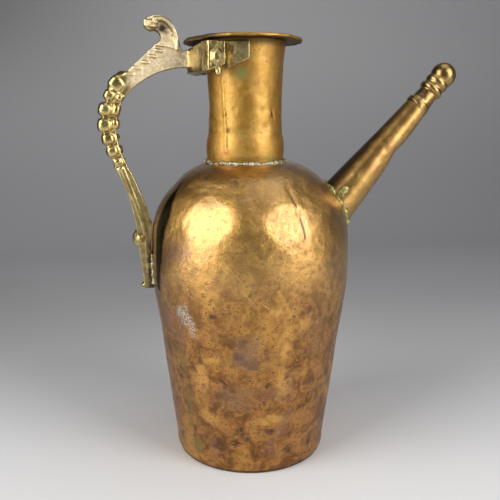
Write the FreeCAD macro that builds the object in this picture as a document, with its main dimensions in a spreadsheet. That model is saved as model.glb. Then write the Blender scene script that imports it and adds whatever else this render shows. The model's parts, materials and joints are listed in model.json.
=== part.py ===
"""Copper water jug: a tall sheet-metal ewer with a slim neck, a slanting spout and a cast brass handle.

Frame: millimetres, +Z up, origin at the middle of the base on the floor, +X towards the spout,
the handle towards -X, and the jug is a mirror image of itself about the plane Y = 0.
"""

import FreeCAD, Part
import os

import Sketcher

V = FreeCAD.Vector

# Single sizes, in millimetres and degrees.
SIZES = {
    "sheet_wall": 1.3,
    "neck_axis": -4.0,
    "rim_axis": -5.6,
    "mouth_radius": 30.6,
    "neck_hole": 28.2,
    "foot_of_spout_x": 74.4,
    "foot_of_spout_z": 207.7,
    "spout_lean": 40.75,
    "bar_width": 13.0,
    "thumb_width": 16.0,
    "fork_bottom": 309.0,
    "fork_depth": 21.0,
    "strap_bottom": 311.0,
    "strap_height": 20.0,
    "pin_x": -30.5,
    "pin_z": 319.0,
    "pin_radius": 3.0,
    "pin_reach": 24.0,
    "pin_head": 3.4,
    "block_face": 38.0,
    "solder_half": 8.5,
    "solder_bottom": 143.0,
    "solder_height": 28.0,
    "solder_reach": 85.5,
}

# Named corners of the outlines, as (first, second) coordinate of the sketch that they are in.
POINTS = {
    # base plate and the body's wall, as radius and height
    "axis_floor": (0, 0),
    "axis_plate": (0, 1.6),
    "plate_edge": (60.2, 0),
    "plate_bulge": (61.6, 0.6),
    "plate_top": (61.8, 1.6),
    "seat_axis": (0, 1.6),
    "wall_foot": (61.6, 1.6),
    "wall_corner": (63.0, 4.2),
    "wall_low": (63.4, 9),
    "wall_high": (78.2, 126),
    "belly": (81.2, 160),
    "shoulder": (79.9, 191),
    "shoulder_round": (74.4, 206.6),
    "dome": (62.2, 222.5),
    "dome_round": (49.5, 234.3),
    "crown_edge": (35.6, 240.6),
    "crown_axis": (0, 240.6),
    # base seam
    "seam_inner": (56.5, 1.6),
    "seam_outer": (61.0, 1.6),
    "seam_top": (61.3, 6.2),
    # neck
    "neck_foot_axis": (0, 240.6),
    "neck_foot": (29.8, 240.6),
    "neck_bulge": (31.0, 248.5),
    "neck_low": (29.3, 264),
    "neck_waist": (28.9, 284),
    "neck_high": (29.9, 311),
    "neck_flare": (30.8, 324),
    "neck_top": (32.2, 333.7),
    "neck_top_axis": (0, 333.7),
    # solder ring at the neck's foot
    "ring_inner": (28.5, 239.0),
    "ring_outer": (34.4, 239.0),
    "ring_lip": (33.6, 241.6),
    "ring_throat": (31.6, 242.7),
    "ring_top": (30.2, 246.0),
    "ring_top_inner": (28.5, 246.0),
    # mouth rim
    "rim_centre_low": (0, 333.7),
    "rim_low": (42.0, 333.7),
    "rim_drip": (45.8, 332.9),
    "rim_edge": (46.5, 334.3),
    "rim_high": (45.4, 335.8),
    "rim_flat": (40.0, 336.0),
    "rim_centre_high": (0, 336.0),
    # spout, as radius and distance along its own axis from the body's skin
    "spout_inner_end": (0, -9),
    "spout_root": (18.3, -9),
    "spout_middle": (13.5, 46),
    "spout_end": (9.7, 100.5),
    "spigot_root": (7.0, 103),
    "spigot_end": (7.0, 115),
    "spigot_axis": (0, 115),
    # solder skirt at the spout's foot
    "skirt_axis": (0, -9.5),
    "skirt_foot": (21.4, -9.5),
    "skirt_cove": (18.7, -1.0),
    "skirt_top": (17.2, 7.5),
    "skirt_top_axis": (0, 7.5),
    # stopper cap on the spout's end
    "cap_mouth": (10.1, 99.6),
    "cap_lip": (10.8, 99.8),
    "cap_lip_top": (10.7, 103.2),
    "cap_shoulder": (8.9, 107),
    "cap_sleeve": (8.2, 116),
    "bead_low": (9.0, 117),
    "bead_round": (10.2, 120),
    "bead_high": (9.0, 123),
    "cove": (8.8, 124.6),
    "ball_round": (10.3, 129.2),
    "ball_shoulder": (9.31, 134),
    "ball_cap": (6.8, 143.18),
    "ball_end": (1.2, 145.92),
    "ball_tip": (0, 145.92),
    "bore_end": (0, 116),
    "bore_end_rim": (7.35, 116),
    "bore_mouth": (7.35, 103.3),
    "bore_seat": (10.05, 100.8),
    # handle, seen from the side, as X and height
    "arm_root_low": (-40.0, 312.5),
    "arm_low": (-63.0, 311.8),
    "bend_start_low": (-84.5, 302.2),
    "bend_low": (-98.6, 288.6),
    "bend_end_low": (-104.5, 270.0),
    "back_low": (-102.9, 254.0),
    "back_end_low": (-96.6, 238.8),
    "stem_low": (-87.4, 217.0),
    "stem_end_low": (-80.6, 195.0),
    "foot_inner_top": (-77.0, 190.0),
    "foot_inner_end": (-77.0, 141.0),
    "foot_end": (-87.3, 141.0),
    "foot_top": (-90.5, 171.0),
    "stem_end_high": (-92.6, 192.0),
    "stem_high": (-96.8, 213.0),
    "back_end_high": (-104.8, 234.5),
    "back_high": (-113.0, 252.5),
    "bend_end_high": (-116.4, 271.0),
    "bend_high": (-111.2, 290.5),
    "bend_start_high": (-99.0, 305.5),
    "arm_high": (-88.5, 316.2),
    "leaf_end": (-74.2, 329.0),
    "thumb_neck": (-69.5, 333.5),
    "thumb_throat": (-69.8, 338.0),
    "thumb_inner": (-72.6, 340.6),
    "curl_low": (-78.3, 340.8),
    "curl_nose": (-81.4, 345.6),
    "curl_top": (-78.2, 350.0),
    "thumb_crown": (-63.8, 349.4),
    "thumb_back": (-55.8, 339.5),
    "saddle": (-54.0, 329.6),
    "arm_root_high": (-40.0, 329.0),
    # fork of the handle round the neck, seen from above, as X and Y
    "fork_root": (-49.0, -6.5),
    "fork_cheek": (-41.0, -31.0),
    "fork_corner": (-37.0, -38.0),
    "fork_front": (-21.5, -38.0),
    "fork_inner": (-21.5, -29.6),
    "fork_back": (-38.4, 0),
    "fork_inner_far": (-21.5, 29.6),
    "fork_front_far": (-21.5, 38.0),
    "fork_corner_far": (-37.0, 38.0),
    "fork_cheek_far": (-41.0, 31.0),
    "fork_root_far": (-49.0, 6.5),
    # strap round the back of the neck, seen from above
    "strap_end": (-6.0, -34.34),
    "strap_back": (-38.4, 0),
    "strap_end_far": (-6.0, 34.34),
    "strap_end_far_inner": (-6.0, 28.0),
    "strap_back_inner": (-32.1, 0),
    "strap_end_inner": (-6.0, -28.0),
    # underside of the strap's arms, seen from the side, as X and height
    "arm_cut_start": (-22.0, 311.0),
    "arm_cut_end": (-6.0, 318.6),
    "arm_cut_outside": (-2.0, 318.6),
    "arm_cut_bottom": (-2.0, 305.0),
    "arm_cut_back": (-22.0, 305.0),
    # faceted head of a pin, from its own middle
    "head_top": (0, 8.0),
    "head_right_high": (5.4, 3.4),
    "head_right_low": (5.4, -3.4),
    "head_foot": (0, -7.4),
    "head_left_low": (-5.4, -3.4),
    "head_left_high": (-5.4, 3.4),
    "facet_top": (0, 4.2),
    "facet_right_high": (2.2, 1.6),
    "facet_right_low": (2.2, -1.6),
    "facet_foot": (0, -4.0),
    "facet_left_low": (-2.2, -1.6),
    "facet_left_high": (-2.2, 1.6),
}

# Cast beads down the handle: middle X and height, half length along the bar, radius across it,
# half width, and the bar's lean from upright in degrees.
BEADS = {
    "bud": (-97.4, 303.0, 8.0, 7.8, 7.2, 44),
    "first_bead": (-104.4, 294.8, 4.2, 8.8, 8.0, 36),
    "band": (-107.8, 288.8, 3.2, 7.6, 7.6, 27),
    "great_bead": (-110.2, 282.6, 4.9, 8.8, 8.4, 17),
    "second_bead": (-111.2, 271.6, 5.2, 8.6, 8.2, 2),
    "third_bead": (-110.0, 261.0, 4.9, 8.1, 8.0, -9),
    "fourth_bead": (-106.8, 250.6, 5.0, 7.9, 7.8, -19),
    "last_bead": (-102.6, 241.4, 3.6, 7.0, 7.2, -24),
    "knob": (-88.3, 180.8, 8.8, 7.4, 7.0, -6),
}
BEAD_KEYS = ("x", "z", "half_length", "radius", "half_width", "lean")
HEAD_CORNERS = ("top", "right_high", "right_low", "foot", "left_low", "left_high")

doc = FreeCAD.newDocument("water_jug")
sheet = doc.addObject("Spreadsheet::Sheet", "dims")


def fill_sheet():
    """Writes every driving dimension to a row of its own: its name, its value and its alias."""
    rows = dict(SIZES)
    for name, pair in POINTS.items():
        rows[name + "_u"], rows[name + "_v"] = pair
    for name, values in BEADS.items():
        for key, value in zip(BEAD_KEYS, values):
            rows[name + "_" + key] = value
    for row, (name, value) in enumerate(rows.items(), start=1):
        sheet.set("A%d" % row, name)
        sheet.set("B%d" % row, str(value))
        sheet.setAlias("B%d" % row, name)
    doc.recompute()


def size(name):
    """The value of one cell of the sheet."""
    return float(sheet.get(name))


def point(name):
    """The sketch position of a named corner."""
    return V(size(name + "_u"), size(name + "_v"), 0)


def bind(thing, **cells):
    """Ties properties of an object to cells, or to expressions of cells."""
    for prop, cell in cells.items():
        thing.setExpression(prop.replace("__", "."), cell)


def plane(body, role):
    """One of a body's own origin planes."""
    return next(feature for feature in body.Origin.OriginFeatures if feature.Role == role)


def new_body(name):
    return doc.addObject("PartDesign::Body", name)


def new_sketch(body, name, role, offset=None):
    """A sketch on one of the body's own planes; offset is a cell expression along its normal."""
    sketch = body.newObject("Sketcher::SketchObject", name)
    sketch.AttachmentSupport = [(plane(body, role), "")]
    sketch.MapMode = "FlatFace"
    if offset:
        sketch.setExpression("AttachmentOffset.Base.z", offset)
    return sketch


def fix(sketch, edge, end, corner):
    """Holds one end of an edge at a named corner of the sheet."""
    for kind, suffix in (("DistanceX", "_u"), ("DistanceY", "_v")):
        value = size(corner + suffix)
        index = sketch.addConstraint(Sketcher.Constraint(kind, -1, 1, edge, end, value))
        sketch.setExpression("Constraints[%d]" % index, "dims." + corner + suffix)


def draw(sketch, *steps):
    """A closed outline. Each step leads on from the corner before it: a name is a straight edge to that
    corner, and (point passed, corner) is an arc. The first step starts at the last step's corner."""
    corners = [step[1] if isinstance(step, tuple) else step for step in steps]
    edges = []
    for here, step, there in zip(corners[-1:] + corners[:-1], steps, corners):
        first, last = point(here), point(there)
        if isinstance(step, tuple):
            middle = point(step[0])
            clockwise = (middle - first).cross(last - middle).z < 0
            curve = Part.Arc(last, middle, first) if clockwise else Part.Arc(first, middle, last)
        else:
            clockwise = False
            curve = Part.LineSegment(first, last)
        edge = sketch.addGeometry(curve, False)
        edges.append((edge, 2, 1) if clockwise else (edge, 1, 2))
    for (edge, _, end), (following, start, _) in zip(edges, edges[1:] + edges[:1]):
        sketch.addConstraint(Sketcher.Constraint("Coincident", edge, end, following, start))
    for (edge, _, end), step, corner in zip(edges, steps, corners):
        fix(sketch, edge, end, corner)
        if isinstance(step, tuple):
            passed = sketch.addGeometry(Part.Point(point(step[0])), True)
            fix(sketch, passed, 1, step[0])
            sketch.addConstraint(Sketcher.Constraint("PointOnObject", passed, 1, edge))
    return sketch


def turned(name, *steps):
    """A body turned about its own Z axis from an outline of radius and height."""
    body = new_body(name)
    sketch = draw(new_sketch(body, name + "_outline", "XZ_Plane"), *steps)
    spin = body.newObject("PartDesign::Revolution", name + "_turn")
    spin.Profile = sketch
    spin.ReferenceAxis = (sketch, ["V_Axis"])
    spin.Angle = 360
    doc.recompute()
    return body


def hollowed(body, open_ends):
    """The body as sheet metal: walls kept inside its skin, with its flat ends at those heights taken out."""
    solid = body.Tip
    ends = [
        "Face%d" % number
        for number, face in enumerate(solid.Shape.Faces, start=1)
        if isinstance(face.Surface, Part.Plane) and round(face.CenterOfMass.z, 3) in open_ends
    ]
    shell = body.newObject("PartDesign::Thickness", body.Name + "_sheet")
    shell.Base = (solid, ends)
    shell.Reversed = True
    bind(shell, Value="dims.sheet_wall")
    doc.recompute()
    return body


def padded(body, name, role, depth, *steps, offset=None, middle=False):
    """Adds a plate of that depth, grown from an outline, to a body."""
    sketch = draw(new_sketch(body, name + "_outline", role, offset), *steps)
    pad = body.newObject("PartDesign::Pad", name + "_pad")
    pad.Profile = sketch
    pad.Midplane = middle
    bind(pad, Length=depth)
    doc.recompute()
    return pad


def cut(label, base, *tools):
    """The base less its tools, as the finished sub-part of that name."""
    for number, tool in enumerate(tools, start=1):
        result = doc.addObject("Part::Cut", "%s_cut_%d" % (label, number))
        result.Base, result.Tool = base, tool
        base = result
    base.Label = label
    doc.recompute()
    return base


def on_axis(body, cell):
    """Moves an upright turned body sideways, on to the axis that a cell gives."""
    bind(body, Placement__Base__x="dims." + cell)
    return body


def on_spout(body):
    """Stands a turned body on the spout's slanting axis."""
    body.Placement = FreeCAD.Placement(V(0, 0, 0), FreeCAD.Rotation(V(0, 1, 0), 1))
    bind(
        body,
        Placement__Base__x="dims.foot_of_spout_x",
        Placement__Base__z="dims.foot_of_spout_z",
        Placement__Rotation__Angle="dims.spout_lean * 1 deg",
    )
    return body


def jug_form(name):
    return turned(
        name,
        "crown_axis",
        "seat_axis",
        "wall_foot",
        ("wall_corner", "wall_low"),
        "wall_high",
        ("belly", "shoulder"),
        ("shoulder_round", "dome"),
        ("dome_round", "crown_edge"),
    )


def neck_form(name):
    body = turned(
        name,
        "neck_foot_axis",
        "neck_foot",
        ("neck_bulge", "neck_low"),
        ("neck_waist", "neck_high"),
        ("neck_flare", "neck_top"),
        "neck_top_axis",
    )
    return on_axis(body, "neck_axis")


def spout_form(name):
    body = turned(
        name,
        "spout_inner_end",
        "spout_root",
        "spout_middle",
        "spout_end",
        "spigot_root",
        "spigot_end",
        "spigot_axis",
    )
    return on_spout(body)


def rod(name, radius, height):
    """A plain upright rod used to cut a round hole."""
    shape = doc.addObject("Part::Cylinder", name)
    bind(shape, Radius=radius, Height=height)
    return shape


def make_base_plate():
    body = turned("base_plate", "axis_plate", "axis_floor", "plate_edge", ("plate_bulge", "plate_top"))
    body.Label = "base_plate"
    return body


def make_body_shell():
    """The body in one skin from the base to the crown, open below, with the neck's and spout's holes."""
    sheet_body = hollowed(jug_form("jug_sheet"), [size("wall_foot_v")])
    neck_hole = rod("neck_hole", "dims.neck_hole", "dims.crown_axis_v + dims.neck_hole")
    bind(neck_hole, Placement__Base__x="dims.neck_axis", Placement__Base__z="dims.wall_high_v")
    return cut("body_shell", sheet_body, neck_hole, spout_form("spout_hole"))


def make_base_seam(skin):
    """The bead of solder inside the corner of base and wall."""
    ring = turned("seam_ring", "seam_inner", "seam_outer", "seam_top")
    return cut("base_solder", ring, skin)


def make_neck_tube():
    ends = [size("neck_foot_v"), size("neck_top_v")]
    body = hollowed(neck_form("neck_tube"), ends)
    body.Label = "neck_tube"
    return body


def make_neck_solder(jug, neck):
    ring = turned(
        "neck_ring",
        "ring_top_inner",
        "ring_inner",
        "ring_outer",
        "ring_lip",
        ("ring_throat", "ring_top"),
    )
    return cut("neck_solder", on_axis(ring, "neck_axis"), jug, neck)


def make_rim():
    disc = turned(
        "rim_disc",
        "rim_centre_high",
        "rim_centre_low",
        "rim_low",
        "rim_drip",
        ("rim_edge", "rim_high"),
        "rim_flat",
    )
    mouth = rod("mouth_hole", "dims.mouth_radius", "dims.rim_centre_high_v")
    bind(mouth, Placement__Base__x="dims.neck_axis", Placement__Base__z="dims.neck_waist_v")
    return cut("rim_flange", on_axis(disc, "rim_axis"), mouth)


def make_spout_tube():
    ends = [size("spout_inner_end_v"), size("spigot_end_v")]
    body = hollowed(spout_form("spout_tube"), ends)
    body.Label = "spout_tube"
    return body


def make_spout_solder(jug, spout):
    skirt = turned(
        "skirt",
        "skirt_axis",
        "skirt_foot",
        ("skirt_cove", "skirt_top"),
        "skirt_top_axis",
    )
    return cut("spout_solder", on_spout(skirt), jug, spout)


def make_spout_cap():
    """The stopper that slips over the spout's end: a flared skirt, a sleeve, a bead and an egg-shaped ball.
    Its bore is about 0.35 mm clear of the spigot and of the spout's shoulder."""
    body = turned(
        "spout_cap",
        "bore_end",
        "bore_end_rim",
        "bore_mouth",
        "bore_seat",
        "cap_mouth",
        "cap_lip",
        "cap_lip_top",
        "cap_shoulder",
        "cap_sleeve",
        "bead_low",
        ("bead_round", "bead_high"),
        "cove",
        ("ball_round", "ball_shoulder"),
        ("ball_cap", "ball_end"),
        "ball_tip",
    )
    body.Label = "spout_cap"
    return on_spout(body)


def add_bead(body, name):
    """A cast bead on the handle's bar, as an ellipsoid leaning with the bar."""
    bead = body.newObject("PartDesign::AdditiveEllipsoid", name)
    bead.Placement = FreeCAD.Placement(V(0, 0, 0), FreeCAD.Rotation(V(0, 1, 0), 1))
    bind(
        bead,
        Radius1="dims.%s_half_length" % name,
        Radius2="dims.%s_radius" % name,
        Radius3="dims.%s_half_width" % name,
        Placement__Base__x="dims.%s_x" % name,
        Placement__Base__z="dims.%s_z" % name,
        Placement__Rotation__Angle="dims.%s_lean * 1 deg" % name,
    )
    doc.recompute()


def make_pins(neck):
    """The two pins through the fork and the strap, each with a faceted head, as one group."""
    sides = []
    for side, sign in (("near", -1), ("far", 1)):
        head = new_body(side + "_pin_head")
        outlines = []
        for level, reach in (("head", "dims.block_face"), ("facet", "dims.block_face + dims.pin_head")):
            offset = reach if sign < 0 else "-(%s)" % reach
            sketch = new_sketch(head, "%s_%s" % (side, level), "XZ_Plane", offset)
            names = [level + "_" + corner for corner in HEAD_CORNERS]
            outlines.append(draw(sketch, *names))
        loft = head.newObject("PartDesign::AdditiveLoft", side + "_facets")
        loft.Profile, loft.Sections, loft.Ruled = outlines[0], [outlines[1]], True
        bind(head, Placement__Base__x="dims.pin_x", Placement__Base__z="dims.pin_z")
        shank = rod(side + "_shank", "dims.pin_radius", "dims.pin_reach")
        shank.Placement = FreeCAD.Placement(V(0, 0, 0), FreeCAD.Rotation(V(1, 0, 0), -90 * sign))
        bind(
            shank,
            Placement__Base__x="dims.pin_x",
            Placement__Base__y="%d * (dims.block_face - dims.pin_reach)" % sign,
            Placement__Base__z="dims.pin_z",
        )
        whole = doc.addObject("Part::Fuse", side + "_pin_whole")
        whole.Base, whole.Tool = head, shank
        sides.append(cut(side + "_pin", whole, neck))
    pins = doc.addObject("Part::Compound", "strap_pins")
    pins.Links = sides
    pins.Label = "strap_pins"
    doc.recompute()
    return pins


def make_strap(neck, pins):
    """The flat strap round the back half of the neck, with arms that taper towards their ends."""
    body = new_body("strap_blank")
    band = padded(
        body,
        "strap",
        "XY_Plane",
        "dims.strap_height",
        "strap_end",
        ("strap_back", "strap_end_far"),
        "strap_end_far_inner",
        ("strap_back_inner", "strap_end_inner"),
        offset="dims.strap_bottom",
    )
    taper = draw(
        new_sketch(body, "arm_cut", "XZ_Plane"),
        "arm_cut_start",
        "arm_cut_end",
        "arm_cut_outside",
        "arm_cut_bottom",
        "arm_cut_back",
    )
    pocket = body.newObject("PartDesign::Pocket", "arm_taper")
    pocket.Profile = taper
    pocket.Type = "ThroughAll"
    pocket.Midplane = True
    doc.recompute()
    if pocket.Shape.Volume >= band.Shape.Volume:
        raise SystemExit("the strap's taper cut nothing")
    return cut("neck_strap", body, neck, pins)


def make_handle(jug, pins):
    """The cast handle: bar, foot, thumb-piece, beads, and the fork that takes the strap."""
    body = new_body("handle_casting")
    padded(
        body,
        "bar",
        "XZ_Plane",
        "dims.bar_width",
        "arm_root_low",
        ("arm_low", "bend_start_low"),
        ("bend_low", "bend_end_low"),
        ("back_low", "back_end_low"),
        ("stem_low", "stem_end_low"),
        "foot_inner_top",
        "foot_inner_end",
        "foot_end",
        "foot_top",
        "stem_end_high",
        ("stem_high", "back_end_high"),
        ("back_high", "bend_end_high"),
        ("bend_high", "bend_start_high"),
        "arm_high",
        "leaf_end",
        "saddle",
        "arm_root_high",
        middle=True,
    )
    padded(
        body,
        "thumb",
        "XZ_Plane",
        "dims.thumb_width",
        "saddle",
        "leaf_end",
        "thumb_neck",
        ("thumb_throat", "thumb_inner"),
        "curl_low",
        ("curl_nose", "curl_top"),
        ("thumb_crown", "thumb_back"),
        middle=True,
    )
    for name in BEADS:
        add_bead(body, name)
    padded(
        body,
        "fork",
        "XY_Plane",
        "dims.fork_depth",
        "fork_root",
        "fork_cheek",
        "fork_corner",
        "fork_front",
        "fork_inner",
        ("fork_back", "fork_inner_far"),
        "fork_front_far",
        "fork_corner_far",
        "fork_cheek_far",
        "fork_root_far",
        offset="dims.fork_bottom",
    )
    return cut("handle", body, jug, pins)


def make_foot_solder(jug, handle):
    """The bed of solder between the handle's foot and the belly."""
    bed = doc.addObject("Part::Box", "solder_bed")
    bind(
        bed,
        Length="dims.solder_reach - dims.wall_high_u",
        Width="2 * dims.solder_half",
        Height="dims.solder_height",
        Placement__Base__x="-dims.solder_reach",
        Placement__Base__y="-dims.solder_half",
        Placement__Base__z="dims.solder_bottom",
    )
    return cut("handle_foot_solder", bed, jug, handle)


def build():
    """Every finished sub-part, in the order in which the jug is put together."""
    jug, neck, spout = jug_form("jug_form"), neck_form("neck_form"), spout_form("spout_form")
    skin = make_body_shell()
    pins = make_pins(neck)
    handle = make_handle(jug, pins)
    return [
        make_base_plate(),
        skin,
        make_base_seam(skin),
        make_neck_tube(),
        make_neck_solder(jug, neck),
        make_rim(),
        make_spout_tube(),
        make_spout_solder(jug, spout),
        make_spout_cap(),
        handle,
        make_foot_solder(jug, handle),
        make_strap(neck, pins),
        pins,
    ]


def check(parts):
    """Stops with a plain message if anything failed to build."""
    doc.recompute()
    for thing in doc.Objects:
        if {"Invalid", "Error"} & set(thing.State):
            raise SystemExit("%s failed: %s" % (thing.Label, thing.State))
    for part in parts:
        if part.Shape.isNull() or not part.Shape.isValid() or not part.Shape.Solids:
            raise SystemExit("%s has no sound shape" % part.Label)


fill_sheet()
sub_parts = build()
check(sub_parts)
os.makedirs("parts", exist_ok=True)
for sub_part in sub_parts:
    sub_part.Shape.exportStep(os.path.join("parts", sub_part.Label + ".step"))
    box = sub_part.Shape.BoundBox
    print(
        "%-20s %d solid(s) %9.0f mm3  X %7.1f %7.1f  Y %6.1f %6.1f  Z %6.1f %6.1f"
        % (
            sub_part.Label,
            len(sub_part.Shape.Solids),
            sub_part.Shape.Volume,
            box.XMin,
            box.XMax,
            box.YMin,
            box.YMax,
            box.ZMin,
            box.ZMax,
        )
    )
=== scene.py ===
import json
import math

import bpy
import numpy as np
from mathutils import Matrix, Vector
from mathutils.bvhtree import BVHTree


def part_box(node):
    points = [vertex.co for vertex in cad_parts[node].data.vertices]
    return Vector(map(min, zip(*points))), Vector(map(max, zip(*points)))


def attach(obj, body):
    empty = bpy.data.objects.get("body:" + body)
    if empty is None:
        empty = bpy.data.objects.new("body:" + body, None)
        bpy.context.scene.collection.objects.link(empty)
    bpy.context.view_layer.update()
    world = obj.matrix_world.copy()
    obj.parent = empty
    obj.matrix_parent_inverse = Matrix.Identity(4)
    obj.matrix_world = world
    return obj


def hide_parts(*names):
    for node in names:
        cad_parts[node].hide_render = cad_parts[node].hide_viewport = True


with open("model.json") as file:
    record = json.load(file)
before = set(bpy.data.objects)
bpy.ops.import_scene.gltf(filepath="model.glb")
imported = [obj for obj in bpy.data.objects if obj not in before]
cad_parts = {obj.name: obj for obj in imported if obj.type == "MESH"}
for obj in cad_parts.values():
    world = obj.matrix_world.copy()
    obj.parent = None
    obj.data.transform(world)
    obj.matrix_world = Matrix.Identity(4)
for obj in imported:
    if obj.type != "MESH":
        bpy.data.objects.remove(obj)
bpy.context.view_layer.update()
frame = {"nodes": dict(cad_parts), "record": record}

# Lengths are metres, in the frame's axes: +X to the spout, -X to the handle, -Y to the camera.
MM = 0.001
JUG, CAP = "jug", "cap"
TAU = 2 * math.pi


# ---------------------------------------------------------------- numbers

def mm(*numbers):
    """Millimetres as metres."""
    return np.array(numbers) * MM


def smooth(t):
    t = np.clip(t, 0, 1)
    return t * t * (3 - 2 * t)


def unit(v):
    v = np.asarray(v, float)
    return v / np.linalg.norm(v, axis=-1, keepdims=True)


def lattice(cell, seed):
    """A fixed pseudo-random number from 0 to 1 for each whole-numbered cell."""
    cell = cell.astype(np.int64)
    mixed = cell[..., 0] * 374761393 + cell[..., 1] * 668265263 + cell[..., 2] * 1440662683 + seed * 974634777
    mixed = (mixed ^ (mixed >> 13)) * 1274126177
    mixed = mixed & 0xFFFFFFFF
    return ((mixed ^ (mixed >> 16)) & 0xFFFF) / 65535.0


def noise(points, scale, seed=0):
    """Smooth noise from -1 to 1 with lumps about scale metres across."""
    q = np.asarray(points, float) / scale
    base = np.floor(q)
    f = q - base
    f = f * f * f * (f * (f * 6 - 15) + 10)
    total = 0
    for corner in np.ndindex(2, 2, 2):
        corner = np.array(corner)
        share = np.prod(np.where(corner, f, 1 - f), axis=-1)
        total = total + share * lattice(base + corner, seed)
    return total * 2 - 1


def cells(points, scale, seed=0):
    """Distance to the nearest scattered point and the gap to the next one, in cells of that size."""
    q = np.asarray(points, float) / scale
    base = np.floor(q)
    nearest = np.full(len(q), 9.0)
    second = np.full(len(q), 9.0)
    for step in np.ndindex(3, 3, 3):
        cell = base + np.array(step) - 1
        jitter = np.stack([lattice(cell, seed + k) for k in (11, 12, 13)], -1)
        away = np.linalg.norm(q - cell - jitter, axis=-1)
        second = np.minimum(second, np.maximum(nearest, away))
        nearest = np.minimum(nearest, away)
    return nearest, second


def bump(points, centre, radius):
    """1 at centre, falling smoothly to 0 past that radius."""
    away = np.linalg.norm(np.asarray(points) - np.asarray(centre), axis=-1)
    return np.exp(-((away / radius) ** 2))


# ---------------------------------------------------------------- meshes

def node_tree(node):
    mesh = frame["nodes"][node].data
    return BVHTree.FromPolygons([v.co for v in mesh.vertices], [tuple(p.vertices) for p in mesh.polygons])


def cad_outline(node, axis, hub, angles, side):
    """The outline of a turned CAD node as (station, radius) points, where rays to a hub on its axis meet it.
    An angle of 0 looks straight out from the axis and 90 along it; side is the turn of the plane read."""
    tree = node_tree(node)
    out = math.cos(side) * axis.across + math.sin(side) * axis.third
    centre = axis.point + hub * axis.along
    found = []
    for angle in np.radians(angles):
        ray = math.cos(angle) * out + math.sin(angle) * axis.along
        hit = tree.ray_cast(Vector(centre + ray * 0.5), Vector(-ray), 0.5)[0]
        if hit is not None:
            away = np.array(hit) - axis.point
            found.append((away @ axis.along, away @ out))
    return np.array(found)


def evenly(points, step):
    """The same path with its points a step apart."""
    points = np.asarray(points, float)
    reach = np.concatenate([[0], np.cumsum(np.linalg.norm(np.diff(points, axis=0), axis=1))])
    at = np.linspace(0, reach[-1], int(round(reach[-1] / step)) + 1)
    return np.stack([np.interp(at, reach, points[:, k]) for k in range(points.shape[1])], -1)


def ring_band(first, second, around):
    """Quads between two rings of points that start at those numbers."""
    j = np.arange(around)
    k = (j + 1) % around
    return np.stack([first + j, first + k, second + k, second + j], -1)


def ring_fan(first, tip, around):
    """Triangles between a ring of points that starts at that number and a tip."""
    j = np.arange(around)
    return np.stack([first + j, first + (j + 1) % around, np.full(around, tip)], -1)


def grid_faces(rings, around, offset=0):
    """Quads of an open-ended tube of that many rings, each of that many points."""
    starts = offset + np.arange(rings - 1) * around
    return np.vstack([ring_band(start, start + around, around) for start in starts])


def lathe(outline, around):
    """The station, radius and turn of each point of an outline turned round its axis."""
    turn = np.tile(np.arange(around) / around * TAU, (len(outline), 1))
    return np.repeat(outline[:, :1], around, 1), np.repeat(outline[:, 1:], around, 1), turn


def plain_object(name, points, faces):
    """A smooth-shaded mesh object that is linked to the scene."""
    mesh = bpy.data.meshes.new(name)
    mesh.from_pydata(np.asarray(points, float).tolist(), [], [list(map(int, f)) for f in faces])
    mesh.validate()
    mesh.polygons.foreach_set("use_smooth", [True] * len(mesh.polygons))
    ob = bpy.data.objects.new(name, mesh)
    bpy.context.scene.collection.objects.link(ob)
    bpy.context.view_layer.update()
    return ob


def piece(name, points, faces, body, slot, *stands_for):
    """A mesh piece that rides on a body and stands for the CAD nodes named."""
    ob = plain_object(name, points, faces)
    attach(ob, body)
    if stands_for:
        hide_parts(*stands_for)
    return ob


def apply_modifiers(ob):
    """Turns the piece's modifiers into its own mesh."""
    graph = bpy.context.evaluated_depsgraph_get()
    made = bpy.data.meshes.new_from_object(ob.evaluated_get(graph))
    old, ob.data = ob.data, made
    ob.modifiers.clear()
    bpy.data.meshes.remove(old)
    made.polygons.foreach_set("use_smooth", [True] * len(made.polygons))
    return ob


def mesh_points(ob):
    points = np.empty(len(ob.data.vertices) * 3)
    ob.data.vertices.foreach_get("co", points)
    return points.reshape(-1, 3)


def mesh_normals(ob):
    normals = np.empty(len(ob.data.vertices) * 3, np.float32)
    ob.data.vertices.foreach_get("normal", normals)
    return normals.reshape(-1, 3).astype(float)


def push(ob, amounts):
    """Moves each point of a piece along its normal by its amount."""
    moved = mesh_points(ob) + mesh_normals(ob) * np.asarray(amounts)[:, None]
    ob.data.vertices.foreach_set("co", moved.ravel())
    ob.data.update()


class Axis:
    """An axis with a direction along it and two across it, for turned pieces."""

    def __init__(self, point, along, across):
        self.point = np.array(point, float)
        self.along = unit(along)
        self.across = unit(across)
        self.third = np.cross(self.along, self.across)

    def at(self, station, radius, turn):
        """Points at distances along the axis, radii from it and turns round it."""
        out = np.asarray(radius)[..., None] * (
            np.cos(turn)[..., None] * self.across + np.sin(turn)[..., None] * self.third
        )
        return self.point + np.asarray(station)[..., None] * self.along + out


def outward(outline):
    """The outward normal of an outline of (station, radius) points, at each point."""
    along = np.gradient(outline, axis=0)
    return unit(np.stack([-along[:, 1], along[:, 0]], -1))


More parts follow.
